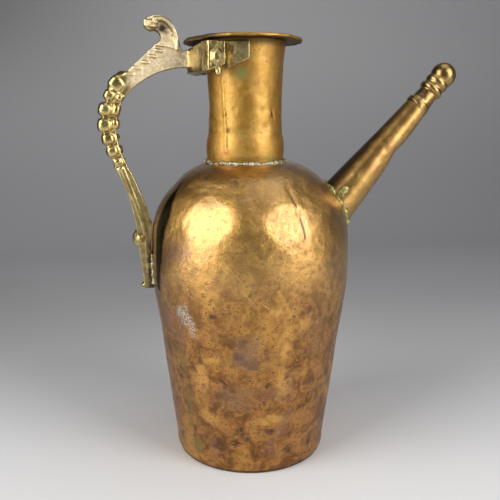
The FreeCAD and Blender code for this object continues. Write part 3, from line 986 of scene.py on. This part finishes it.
def make_handle():
    """The cast handle, with its beads, leaf ridges, thumb-piece and fork run into one rough skin."""
    lug = ball(mm(-29.4, -33.6, 309.0), mm(3.0, 3.0, 3.6))
    mesh = together(handle_core(), *beads(), *leaf_ridges(), *thumb_details(), *stem_details(), lug)
    ob = cast("handle_cast", mesh, 0.56 * MM, 3, JUG, "cast_brass", "handle")
    points, normals = mesh_points(ob), mesh_normals(ob)
    side_face = smooth((np.abs(normals[:, 1]) - 0.75) / 0.2)
    arm = smooth((points[:, 0] + 0.100) / 0.010) * smooth((points[:, 2] - 0.292) / 0.012)
    arm = arm * smooth((-0.040 - points[:, 0]) / 0.008)
    block = smooth((points[:, 0] + 0.046) / 0.005)
    rough = 0.25 + 0.75 * side_face * arm
    flat = points * [1, 0, 1]
    thumb = smooth((points[:, 2] - 0.331) / 0.004) * side_face
    hollow = 2.3 * bump(flat, (-66.5 * MM, 0, 340.5 * MM), 6 * MM)
    dish = thumb * (hollow + bump(flat, (-62.5 * MM, 0, 333 * MM), 5 * MM))
    fine = (rough + 0.5 * block) * 0.2 * noise(points, 2.4 * MM, 82)
    lift = (0.2 + 0.25 * block) * noise(points, 5.5 * MM, 81) + fine - dish
    pits = np.clip(0.42 - cells(points, 3.6 * MM, 83)[0], 0, 1) * (0.2 + rough)
    push(ob, (lift - 0.06 - 0.5 * pits) * MM)
    attribute(ob, "rough", side_face * arm)
    # Darker towards the foot, with painted shade strongest on its side facing the body.
    foot = smooth((0.196 - points[:, 2]) / 0.03) * (0.35 + 0.65 * smooth((points[:, 0] + 0.088) / 0.006))
    # Painted shade inside the fork, between it and the neck.
    fork = smooth((points[:, 0] + 0.049) / 0.006) * smooth((0.033 - np.abs(points[:, 1])) / 0.003)
    patchy = np.clip(0.75 + 0.5 * noise(points, 4 * MM, 84) + 0.4 * noise(points, 1.8 * MM, 85), 0, 1)
    bar = 0.32 * smooth((0.236 - points[:, 2]) / 0.01)
    # Painted shade under the thumb-piece's scroll.
    scroll = 0.9 * bump(flat, (-66.5 * MM, 0, 341 * MM), 5 * MM)
    scroll = scroll + 0.7 * bump(flat, (-72 * MM, 0, 340.5 * MM), 3.5 * MM)
    # Painted shadow: a dark line along the step at the fork's block.
    step_shadow = 0.9 * bump(points * [1, 0, 0], (-41.5 * MM, 0, 0), 1.1 * MM) * block
    # Patchy dirt mixed with the painted shade above.
    dirt_and_shade = np.maximum.reduce([foot, 0.6 * fork, bar, scroll, step_shadow])
    attribute(ob, "dirt_and_shade", np.clip(dirt_and_shade * (patchy + 0.2), 0, 1))
    return ob


def make_strap():
    ob = cast("neck_strap_cast", node_mesh("neck_strap"), 0.5 * MM, 5, JUG, "cast_brass", "neck_strap")
    points = mesh_points(ob)
    lift = 0.22 * noise(points, 7 * MM, 85) + 0.13 * noise(points, 2.6 * MM, 86) - 0.12
    push(ob, lift * MM)
    attribute(ob, "rough", np.full(len(points), 0.1))
    # Patchy dirt all over, and painted shade along the strap's top just under the rim.
    darkening_below_rim = 0.35 + 0.45 * noise(points, 5 * MM, 87) + 0.8 * smooth((points[:, 2] - 0.3295) / 0.002)
    attribute(ob, "dirt_and_shade", np.clip(darkening_below_rim, 0, 0.8))
    return ob


def make_pins():
    """The two faceted pins, with worn edges."""
    ob = piece("strap_pins_cut", *node_mesh("strap_pins"), JUG, "cast_brass", "strap_pins")
    weld = ob.modifiers.new("weld", "WELD")
    weld.merge_threshold = 0.01 * MM
    worn = ob.modifiers.new("worn", "BEVEL")
    worn.width = 0.7 * MM
    worn.segments = 3
    worn.limit_method = "ANGLE"
    worn.angle_limit = math.radians(20)
    apply_modifiers(ob)
    attribute(ob, "rough", np.full(len(ob.data.vertices), 0.1))
    return ob


def lumpy(path, radius, around, seed, closed):
    """A run of solder along a path, thick and thin by turns."""
    path = np.asarray(path)
    swell = 1 + 0.5 * noise(path, 5 * MM, seed) + 0.4 * noise(path, 2.2 * MM, seed + 1)
    points, faces = tube(path, radius * MM * swell, around, closed)
    points = points + 0.34 * MM * np.stack([noise(points, 1.6 * MM, seed + k) for k in (2, 3, 4)], -1)
    return points, faces


def ring_path(axis, station, radius, count):
    turn = np.arange(count) / count * TAU
    return axis.at(np.full(count, station), np.full(count, radius), turn)


def make_neck_solder():
    path = ring_path(neck_axis, CROWN + 0.6 * MM, 31.3 * MM, 420)
    wander = 0.4 * noise(path, 8 * MM, 91) + 0.35 * noise(path, 3 * MM, 95)
    path = path + np.array([0, 0, MM]) * wander[:, None]
    mesh = lumpy(path, 1.75, 16, 92, True)
    return piece("neck_solder_run", *mesh, JUG, "solder", "neck_solder")


def spout_joint(count):
    """Where the spout's skin meets the body's, all round."""
    turn = np.arange(count) / count * TAU
    stations = np.linspace(0.02, -0.02, 400)
    line = []
    for angle in turn:
        places = spout_axis.at(stations, np.full(400, 17.5 * MM), np.full(400, angle))
        radius = np.interp(places[:, 2], body_line[:, 0], body_line[:, 1])
        outside = np.hypot(places[:, 0], places[:, 1]) > radius
        line.append(places[np.argmin(outside)])
    line = np.array(line)
    for _ in range(6):
        line = (np.roll(line, 1, 0) + line * 2 + np.roll(line, -1, 0)) / 4
    return line


def make_spout_solder():
    dab = ball(on_spout(-112, 6.5), mm(3.6, 2.4, 6.0), 0.7)
    mesh = together(lumpy(spout_joint(220), 2.3, 16, 96, True), dab)
    return piece("spout_solder_run", *mesh, JUG, "solder", "spout_solder")


def make_foot_solder():
    """The beads of solder down both sides of the handle's foot."""
    low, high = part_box("handle_foot_solder")
    runs = []
    for side in (-1, 1):
        z = np.linspace(low[2] + 2 * MM, high[2] - 2 * MM, 60)
        radius = np.interp(z, body_line[:, 0], body_line[:, 1])
        y = side * 7.0 * MM * np.ones(60)
        x = -np.sqrt(radius**2 - y**2) + 0.3 * MM
        runs.append(lumpy(np.stack([x, y, z], -1), 1.5, 14, 100 + side, False))
    return piece("foot_solder_runs", *together(*runs), JUG, "solder", "handle_foot_solder")


# ---------------------------------------------------------------- finishes

def scratched(f, marks, share, wobble):
    """1 on the body's scratches, which are (turn, height, turn, height, width), and 0 off them."""
    found = None
    for turn, height, end_turn, end_height, width in marks:
        line = f.line(on_body(turn, height), on_body(end_turn, end_height), width * share, wobble)
        found = line if found is None else f.calc("MAXIMUM", found, line)
    return found


def beaten_copper():
    """Old beaten copper: golden on the shoulder, redder below, mottled, pitted, scratched and stained, with a
    painted dark reflection beside the handle.
    """
    f = Finish("beaten_copper")
    broad = f.noise(46, 5, 0.6, 0.6)
    mottle = f.noise(13, 6, 0.65, 0.8, shift=0.3)
    fine = f.noise(3.2, 6, 0.7, shift=0.7)
    grain = f.noise(0.9, 4, 0.7, shift=0.9)
    # The shoulder's paler, more golden colour is partly the copper's own tone and partly painted light for the
    # brighter light its upward faces reflect.
    high = f.step(f.total((1, f.height()), (0.05, broad)), 0.135, 0.215)
    lower = f.blend(f.step(mottle, 0.38, 0.60), (0.21, 0.09, 0.03), (0.47, 0.225, 0.066))
    upper = f.blend(f.step(mottle, 0.35, 0.7), (0.42, 0.225, 0.052), (0.62, 0.365, 0.095))
    colour = f.blend(high, lower, upper)
    colour = f.blend(f.step(broad, 0.54, 0.68, 0, 0.75), colour, (0.33, 0.17, 0.095))
    colour = f.blend(f.step(broad, 0.46, 0.33, 0, 0.75), colour, (0.64, 0.35, 0.085))
    colour = f.blend(f.step(fine, 0.53, 0.66, 0, 0.65), colour, (0.17, 0.075, 0.028))
    colour = f.blend(f.step(fine, 0.43, 0.30, 0, 0.55), colour, (0.76, 0.44, 0.14))
    worn = f.times(f.read("gold"), f.step(mottle, 0.35, 0.55, 0.5, 1.0))
    colour = f.blend(worn, colour, (0.72, 0.40, 0.11))
    below = f.step(high, 0.9, 0.2, 0.25, 1.0)
    specks = f.times(f.step(f.cells(2.7, blur=0.7), 0.32, 0.12), f.step(mottle, 0.42, 0.6))
    specks = f.times(specks, below)
    colour = f.blend(f.times(specks, 0.8), colour, (0.10, 0.045, 0.02))
    blots = f.times(f.step(f.cells(15, blur=0.5, shift=0.4), 0.2, 0.06), below)
    colour = f.blend(f.times(blots, 0.5), colour, (0.16, 0.085, 0.05))
    dark = f.read("dark")
    colour = f.blend(f.times(dark, f.step(fine, 0.3, 0.62, 0.55, 1.0)), colour, (0.075, 0.042, 0.036))
    colour = f.blend(f.read("green"), colour, (0.24, 0.20, 0.05))
    colour = f.blend(f.read("dull"), colour, (0.25, 0.15, 0.105))
    # Painted dark reflection: the near-black band beside the handle.
    colour = f.blend(f.read("painted_dark_reflection"), colour, (0.006, 0.004, 0.003))
    flecks = f.times(f.read("silver"), f.step(f.noise(1.1, 4, 0.65, 0.4, shift=0.2), 0.45, 0.56))
    colour = f.blend(f.times(flecks, 0.95), colour, (0.66, 0.65, 0.60))
    lines = scratched(f, SCRATCHES, 0.75, 0.6)
    colour = f.blend(f.times(lines, f.step(fine, 0.3, 0.6, 0.15, 0.6)), colour, (0.85, 0.58, 0.26))
    cuts = scratched(f, CUTS, 1.0, 0.35)
    colour = f.blend(f.times(cuts, 0.9), colour, (0.10, 0.05, 0.02))
    scuffs = f.step(f.noise(1.6, 3, 0.6, 0.2, (0.35, 0.35, 3.2)), 0.6, 0.72)
    rough = f.total((0.11, mottle), (0.2, fine), (0.28, dark), (0.1, specks), (0.12, flecks), (0.05, scuffs))
    rough = f.calc("ADD", rough, f.step(high, 0.0, 1.0, 0.26, 0.22), True)
    relief = f.total((0.55, fine), (0.14, grain), (-0.75, specks), (-0.5, dark), (-0.8, cuts), (0.35, flecks))
    tooth = f.bump(relief, 0.62)
    hammer = f.bump(f.total((0.5, f.cells(6.5, blur=0.5, shift=0.6)), (1.0, f.noise(9, 3, 0.5))), 0.34, tooth)
    # The clear coat is left off the painted dark reflection beside the handle.
    coat = f.times(f.step(high, 0.0, 1.0, 0.15, 0.9), f.step(f.read("painted_dark_reflection"), 0.0, 1.0, 1.0, 0.0))
    return f.done(colour, rough, hammer, 1.0, coat, 0.28)


SCRATCHES = [
    (-119, 186, -128, 165, 0.7),
    (-113, 170, -98, 145, 0.6),
    (-98, 145, -90, 142, 0.6),
    (-136, 176, -141, 166, 0.6),
    (-126, 176, -137, 170, 0.5),
    (-133, 193, -141, 186, 0.6),
    (-84, 176, -77, 171, 0.5),
    (-151, 225.4, -119, 226, 0.7),
    (-68, 207, -66.5, 190, 0.9),
    (-59, 176, -50, 160, 0.45),
    (-112, 118, -104, 121, 0.5),
    (-70, 116, -61, 119, 0.45),
    (70, 190, 96, 170, 0.6),
    (140, 150, 120, 132, 0.6),
    (20, 120, 34, 96, 0.5),
]
CUTS = [
    (-72, 226.7, -71, 210, 0.8),
    (-71, 210, -69.4, 188.5, 1.0),
    (-96, 148, -88, 139.5, 0.7),
    (-88, 139.5, -80, 142, 0.6),
    (-110, 30, -106, 27, 0.9),
    (-142, 35, -140, 30, 1.0),
    (-119, 83, -114, 78, 0.9),
    (-83, 37, -74, 39, 0.6),
    (-72, 30, -62, 32, 0.6),
]
# Blots on the body: turn, height, half width, half height and strength.
DARK_SPOTS = [
    (-112, 229, 3.6, 2.4, 0.75),
    (-105.8, 102.7, 3.6, 3.0, 0.85),
    (-102.5, 98, 3.4, 2.6, 0.6),
    (-117, 82, 2.0, 1.8, 0.8),
    (-115.6, 77, 1.6, 3.0, 0.85),
    (-110.3, 73.6, 2.6, 1.5, 0.75),
    (-142, 32, 1.8, 3.4, 0.9),
    (-110, 27, 3.0, 3.4, 0.85),
    (-107, 38, 7.0, 4.6, 0.6),
    (-121, 23.5, 5.2, 5.0, 0.6),
    (-123, 14, 2.4, 2.4, 0.6),
    (-101, 32, 2.8, 2.2, 0.7),
    (-78, 84, 2.4, 3.4, 0.8),
    (-89, 79, 3.2, 2.8, 0.75),
    (-87, 38.5, 3.6, 2.6, 0.75),
    (-72, 19, 3.6, 4.4, 0.8),
    (-52.5, 17, 2.4, 3.2, 0.7),
    (-83, 96, 2.0, 1.8, 0.6),
    (-120, 134, 3.2, 2.0, 0.75),
    (-113, 136, 3.6, 1.8, 0.6),
    (-66, 136, 3.8, 3.2, 0.55),
    (-62, 130, 2.0, 2.4, 0.6),
    (-97, 16, 2.8, 3.0, 0.6),
    (-60, 60, 2.6, 2.8, 0.5),
    (-150, 74, 2.2, 4.0, 0.5),
    (40, 60, 5.0, 4.0, 0.6),
    (75, 34, 4.0, 5.0, 0.6),
    (110, 90, 4.6, 3.6, 0.6),
    (150, 48, 5.0, 4.0, 0.6),
    (170, 130, 3.6, 4.6, 0.5),
]
GREEN_SPOTS = [
    (-141, 17, 6.0, 9.0, 0.75),
    (-145, 50, 4.0, 22.0, 0.5),
    (-146, 93, 5.0, 14.0, 0.55),
    (-170, 133, 5.0, 12.0, 0.45),
    (-112, 116, 12.0, 3.4, 0.3),
    (60, 20, 8.0, 8.0, 0.5),
    (130, 24, 10.0, 6.0, 0.45),
]
SILVER_SPOTS = [(-140.5, 133.5, 6.6, 4.6, 1.0), (-137.5, 127, 5.4, 5.4, 1.0), (-134.5, 120.5, 3.4, 5.4, 1.0)]
DULL_SPOTS = [(-101, 104, 12.0, 16.0, 0.6), (-110, 66, 15.0, 12.0, 0.45), (-60, 120, 13.0, 22.0, 0.25)]


# Places polished golden by wear: turn, height, half width, half height and strength.
GOLD_SPOTS = [
    (-80, 112, 7.0, 17.0, 0.8),
    (-80, 80, 6.0, 15.0, 0.7),
    (-85, 139, 7.0, 4.0, 0.8),
    (-68, 126, 9.0, 5.0, 0.7),
    (-131, 82, 7.0, 12.0, 0.75),
    (-128, 48, 9.0, 6.0, 0.6),
    (-87, 48, 11.0, 4.5, 0.75),
    (-120, 98, 10.0, 4.0, 0.55),
    (60, 110, 12.0, 16.0, 0.6),
    (130, 140, 10.0, 14.0, 0.6),
]
# The outer edge of the painted dark reflection beside the handle: height in millimetres and turn from +X in
# degrees.
DARK_REFLECTION_EDGE = [
    (144, 160), (152, 159.5), (165, 156.6), (187, 154), (198, 152.4), (208, 152.2), (217, 158), (228, 164.5),
]


def painted_dark_reflection(points):
    """Painted dark reflection: the black band beside the handle, from its foot up round the shoulder, fainter
    on the far side.
    """
    turn = np.abs(np.degrees(np.arctan2(points[:, 1], points[:, 0])))
    height = points[:, 2] / MM
    edge = np.interp(height, *zip(*DARK_REFLECTION_EDGE)) + 0.8 * noise(points, 4 * MM, 43)
    band = smooth((turn - edge) / 2.2) * smooth((167.0 - turn) / 1.6)
    near_side = np.where(points[:, 1] < 0, 1.0, 0.2)
    return near_side * band * smooth((height - 142) / 3) * smooth((230 - height) / 3)


def mark_body(ob):
    points = mesh_points(ob)
    attribute(ob, "painted_dark_reflection", painted_dark_reflection(points))
    attribute(ob, "gold", stain(points, GOLD_SPOTS, on_body))
    attribute(ob, "dark", stain(points, DARK_SPOTS, on_body))
    attribute(ob, "green", stain(points, GREEN_SPOTS, on_body))
    attribute(ob, "silver", stain(points, SILVER_SPOTS, on_body))
    attribute(ob, "dull", stain(points, DULL_SPOTS, on_body))


def mark_neck(ob):
    points, normals = mesh_points(ob), mesh_normals(ob)
    green = [(-105, 308, 5.0, 5.0, 0.7), (-107.5, 264, 2.4, 2.0, 0.6), (-60, 245, 6, 3, 0.4)]
    # The third dark mark, a wide thin band low on the neck's front, is a painted dark reflection; the other
    # two are spots.
    dark = [(-53, 278.6, 1.4, 2.4, 0.9), (-126, 266, 2.0, 2.4, 0.7), (-100, 245, 16, 2.4, 0.35)]
    # Painted shade: the rim's underside, its left end towards the handle, and the top of the neck just under
    # the rim.
    under = 0.93 * smooth((-normals[:, 2] - 0.1) / 0.4) * (points[:, 2] > 0.332)
    left = 0.95 * smooth((-points[:, 0] - 0.023) / 0.012) * (points[:, 2] > 0.332)
    darkening_below_rim = 0.75 * smooth((points[:, 2] - 0.3265) / 0.006) * (points[:, 2] < 0.3335)
    attribute(ob, "green", stain(points, green, on_neck))
    attribute(ob, "dark", np.maximum.reduce([stain(points, dark, on_neck), under, left, darkening_below_rim]))


def spout_dark_reflection(points):
    """Painted dark reflection: the black along the spout's upper side, widest at its foot."""
    away = points - SPOUT_FOOT
    station = away @ SPOUT_WAY
    turn = np.arctan2(away @ spout_axis.third, away @ spout_axis.across)
    ragged = 0.05 * noise(points, 5 * MM, 44) + 0.03 * noise(points, 2 * MM, 45)
    return 0.95 * smooth((-np.cos(turn) - 0.42 - 4.2 * station + ragged) / 0.34)


def brass_sheet(name, deep, pale, red, base, coat):
    """Worn yellow sheet brass for the neck, rim and spout, warmer in places."""
    f = Finish(name)
    broad = f.noise(24, 5, 0.6, 0.6, shift=0.15)
    mottle = f.noise(8, 5, 0.62, 0.6, shift=0.45)
    fine = f.noise(2.4, 6, 0.7, shift=0.75)
    colour = f.blend(f.step(mottle, 0.36, 0.66), deep, pale)
    colour = f.blend(f.step(broad, 0.5, 0.7, 0, 0.7), colour, red)
    colour = f.blend(f.step(fine, 0.56, 0.74, 0, 0.5), colour, (0.22, 0.12, 0.04))
    specks = f.times(f.step(f.cells(3.6, blur=0.7), 0.22, 0.08), f.step(mottle, 0.45, 0.62))
    colour = f.blend(f.times(specks, 0.7), colour, (0.09, 0.05, 0.02))
    colour = f.blend(f.read("green"), colour, (0.30, 0.33, 0.10))
    # Dark marks: real spots, painted shade on and under the rim, and painted dark reflections low on the neck
    # and along the spout.
    colour = f.blend(f.read("dark"), colour, (0.07, 0.04, 0.015))
    rough = f.total((0.12, mottle), (0.14, fine), (0.2, f.read("dark")), (0.2, specks))
    rough = f.calc("ADD", rough, base, True)
    tooth = f.bump(f.total((0.5, fine), (-0.8, specks), (0.1, f.noise(0.8, 3, 0.7))), 0.2)
    hammer = f.bump(f.total((0.3, f.cells(4.6, blur=0.5, shift=0.6)), (1, f.noise(6, 3, 0.5))), 0.11, tooth)
    return f.done(colour, rough, hammer, 1.0, coat, 0.28)


def cast_brass(name, deep, pale):
    """Cast yellow brass, polished by hands on its edges, dark in its hollows, rough on the arm's sides."""
    f = Finish(name)
    mottle = f.noise(9, 5, 0.6, 0.5, shift=0.25)
    fine = f.noise(1.5, 6, 0.72, shift=0.55)
    rough_face = f.read("rough")
    edge = f.edges()
    colour = f.blend(f.step(mottle, 0.35, 0.68), deep, pale)
    dusty = f.times(rough_face, f.step(fine, 0.3, 0.6, 0.45, 0.95))
    colour = f.blend(dusty, colour, (0.92, 0.77, 0.53))
    holes = f.times(f.step(f.cells(2.2, blur=0.6), 0.2, 0.06), f.step(mottle, 0.4, 0.62))
    colour = f.blend(f.times(holes, 0.75), colour, (0.08, 0.045, 0.02))
    colour = f.blend(f.step(edge, 0.485, 0.425, 0, 0.92), colour, (0.055, 0.035, 0.012))
    colour = f.blend(f.step(edge, 0.53, 0.60, 0, 0.6), colour, (0.98, 0.84, 0.50))
    # Patchy dirt together with painted shade in the handle's recesses and along the strap's top.
    dirt_and_shade = f.read("dirt_and_shade")
    colour = f.blend(dirt_and_shade, colour, (0.09, 0.06, 0.03))
    rough = f.total((0.1, mottle), (0.16, fine), (0.22, rough_face), (0.2, holes), (0.3, dirt_and_shade))
    rough = f.calc("ADD", rough, 0.16, True)
    relief = f.total((f.step(rough_face, 0, 1, 0.25, 0.8), fine), (-0.8, holes))
    return f.done(colour, rough, f.bump(relief, 0.4), 1.0, 0.35, 0.25)


def solder_finish(name, tint, old):
    """Dull whitish solder, dirty in its hollows and yellowed where it has run."""
    f = Finish(name)
    mottle = f.noise(4.5, 5, 0.6, 0.8)
    fine = f.noise(1.1, 5, 0.7, shift=0.4)
    colour = f.blend(f.step(mottle, 0.4, 0.62), tint, old)
    colour = f.blend(f.step(fine, 0.5, 0.64, 0, 0.9), colour, (0.11, 0.08, 0.035))
    colour = f.blend(f.step(f.edges(), 0.47, 0.40, 0, 0.9), colour, (0.06, 0.045, 0.02))
    rough = f.calc("ADD", f.total((0.2, mottle), (0.22, fine)), 0.22, True)
    return f.done(colour, rough, f.bump(f.total((0.7, fine), (0.5, mottle)), 0.45), 0.9, 0.04, 0.3)


# ---------------------------------------------------------------- studio

def area_light(name, place, aim, width, height, power, shade=(1, 1, 1)):
    lamp = bpy.data.lights.new(name, "AREA")
    lamp.shape = "RECTANGLE"
    lamp.size, lamp.size_y = width, height
    lamp.energy = power
    lamp.color = shade
    ob = bpy.data.objects.new(name, lamp)
    bpy.context.scene.collection.objects.link(ob)
    place, aim = Vector(place), Vector(aim)
    ob.location = place
    ob.rotation_euler = (aim - place).to_track_quat("-Z", "Y").to_euler()
    ob.visible_camera = False
    return ob


def stage_sheet(name, points, faces, material):
    ob = plain_object(name, points, faces)
    ob.data.materials.append(material)
    return ob


def paper():
    """Matt backdrop paper, with painted light falloff: paler in front and darker towards the wall."""
    f = Finish("paper")
    depth = f.node("ShaderNodeSeparateXYZ", Vector=f.place).outputs[1]
    side = f.node("ShaderNodeSeparateXYZ", Vector=f.place).outputs[0]
    colour = f.blend(f.step(depth, -0.26, 0.46), (0.76, 0.765, 0.78), (0.36, 0.363, 0.378))
    colour = f.blend(f.step(f.height(), 0.02, 0.5), colour, (0.46, 0.463, 0.478))
    # Painted shade darkening the top left corner.
    corner = f.times(f.step(side, 0.15, -0.7), f.step(f.height(), 0.15, 0.7))
    colour = f.blend(corner, colour, (0.20, 0.202, 0.21))
    relief = f.bump(f.noise(1.4, 3, 0.6), 0.03)
    return f.done(colour, 0.9, relief, 0.0)


def make_stage():
    """A floor that curves up into a wall behind, and a dark board that only the metal sees."""
    half, front, back, bend, top = 2.2, -2.2, 1.5, 0.75, 2.4
    turns = np.linspace(0, math.pi / 2, 17)
    curve = [(front, 0.0)]
    curve += [(back - bend + bend * math.sin(t), bend - bend * math.cos(t)) for t in turns]
    curve += [(back, top)]
    points = [(x, y, z) for y, z in curve for x in (-half, half)]
    faces = [(2 * i, 2 * i + 1, 2 * i + 3, 2 * i + 2) for i in range(len(curve) - 1)]
    stage_sheet("backdrop", points, faces, paper())
    black = Finish("flag_black")
    weave = black.blend(black.noise(8), (0.004, 0.004, 0.004), (0.008, 0.008, 0.008))
    cloth = black.done(weave, 0.9, black.bump(black.noise(2), 0.05), 0.0)
    board = [(-0.55, 0.27, 0.0), (-0.29, 0.60, 0.0), (-0.20, 0.52, 1.15), (-0.44, -0.02, 1.15)]
    flag = stage_sheet("flag", board, [(0, 1, 2, 3)], cloth)
    flag.visible_camera = False
    flag.visible_shadow = False


def make_lights():
    area_light("left_box", (-0.92, -0.40, 0.62), (0, 0, 0.16), 0.72, 1.15, 13.4, (1.0, 0.985, 0.96))
    area_light("right_box", (0.80, -0.80, 0.66), (0, 0, 0.16), 0.62, 1.15, 12.2, (1.0, 0.985, 0.96))
    area_light("top_fill", (0.35, -0.1, 1.7), (0, 0, 0.1), 1.2, 1.0, 4.8)
    world = bpy.data.worlds.new("studio")
    bpy.context.scene.world = world
    world.use_nodes = True
    world.node_tree.nodes["Background"].inputs["Color"].default_value = (0.50, 0.51, 0.53, 1)
    world.node_tree.nodes["Background"].inputs["Strength"].default_value = 0.23


def make_camera():
    lens = bpy.data.cameras.new("camera")
    lens.lens = 45.5
    lens.sensor_width = 36.0
    lens.clip_start = 0.01
    eye = bpy.data.objects.new("camera", lens)
    eye.location = (-0.0893, -0.5063, 0.2782)
    eye.rotation_euler = (math.radians(90 - 12.1), 0, math.radians(-10))
    bpy.context.scene.collection.objects.link(eye)
    bpy.context.scene.camera = eye


# ---------------------------------------------------------------- the scene

def main():
    make_camera()
    make_lights()
    make_stage()
    copper = beaten_copper()
    neck_colours = (0.43, 0.23, 0.042), (0.55, 0.325, 0.075), (0.50, 0.24, 0.085)
    spout_colours = (0.37, 0.205, 0.052), (0.50, 0.30, 0.085), (0.40, 0.19, 0.07)
    neck_metal = brass_sheet("neck_brass", *neck_colours, 0.37, 0.25)
    spout_metal = brass_sheet("spout_brass", *spout_colours, 0.22, 0.5)
    cast_metal = cast_brass("cast_brass", (0.44, 0.33, 0.12), (0.68, 0.54, 0.23))
    cap_metal = cast_brass("cap_brass", (0.27, 0.17, 0.055), (0.40, 0.26, 0.09))
    body = make_body()
    mark_body(body)
    dress(body, copper)
    base = make_base()
    attribute(base, "dark", np.full(len(base.data.vertices), 0.85))
    dress(base, copper)
    for ob in (make_neck(), make_rim()):
        mark_neck(ob)
        dress(ob, neck_metal)
    spout = make_spout()
    # The spout's dark marks are a painted dark reflection along its upper side.
    attribute(spout, "dark", spout_dark_reflection(mesh_points(spout)))
    dress(spout, spout_metal)
    for ob in (make_handle(), make_strap(), make_pins()):
        dress(ob, cast_metal)
    dress(make_cap(), cap_metal)
    pale_solder = solder_finish("pale_solder", (0.34, 0.29, 0.16), (0.56, 0.53, 0.40))
    green_solder = solder_finish("green_solder", (0.30, 0.26, 0.075), (0.56, 0.55, 0.22))
    dress(make_neck_solder(), pale_solder)
    dress(make_spout_solder(), green_solder)
    dress(make_foot_solder(), pale_solder)
    dress(frame["nodes"]["base_solder"], pale_solder)
    bpy.context.scene.view_settings.view_transform = "Standard"


main()
bpy.context.view_layer.update()
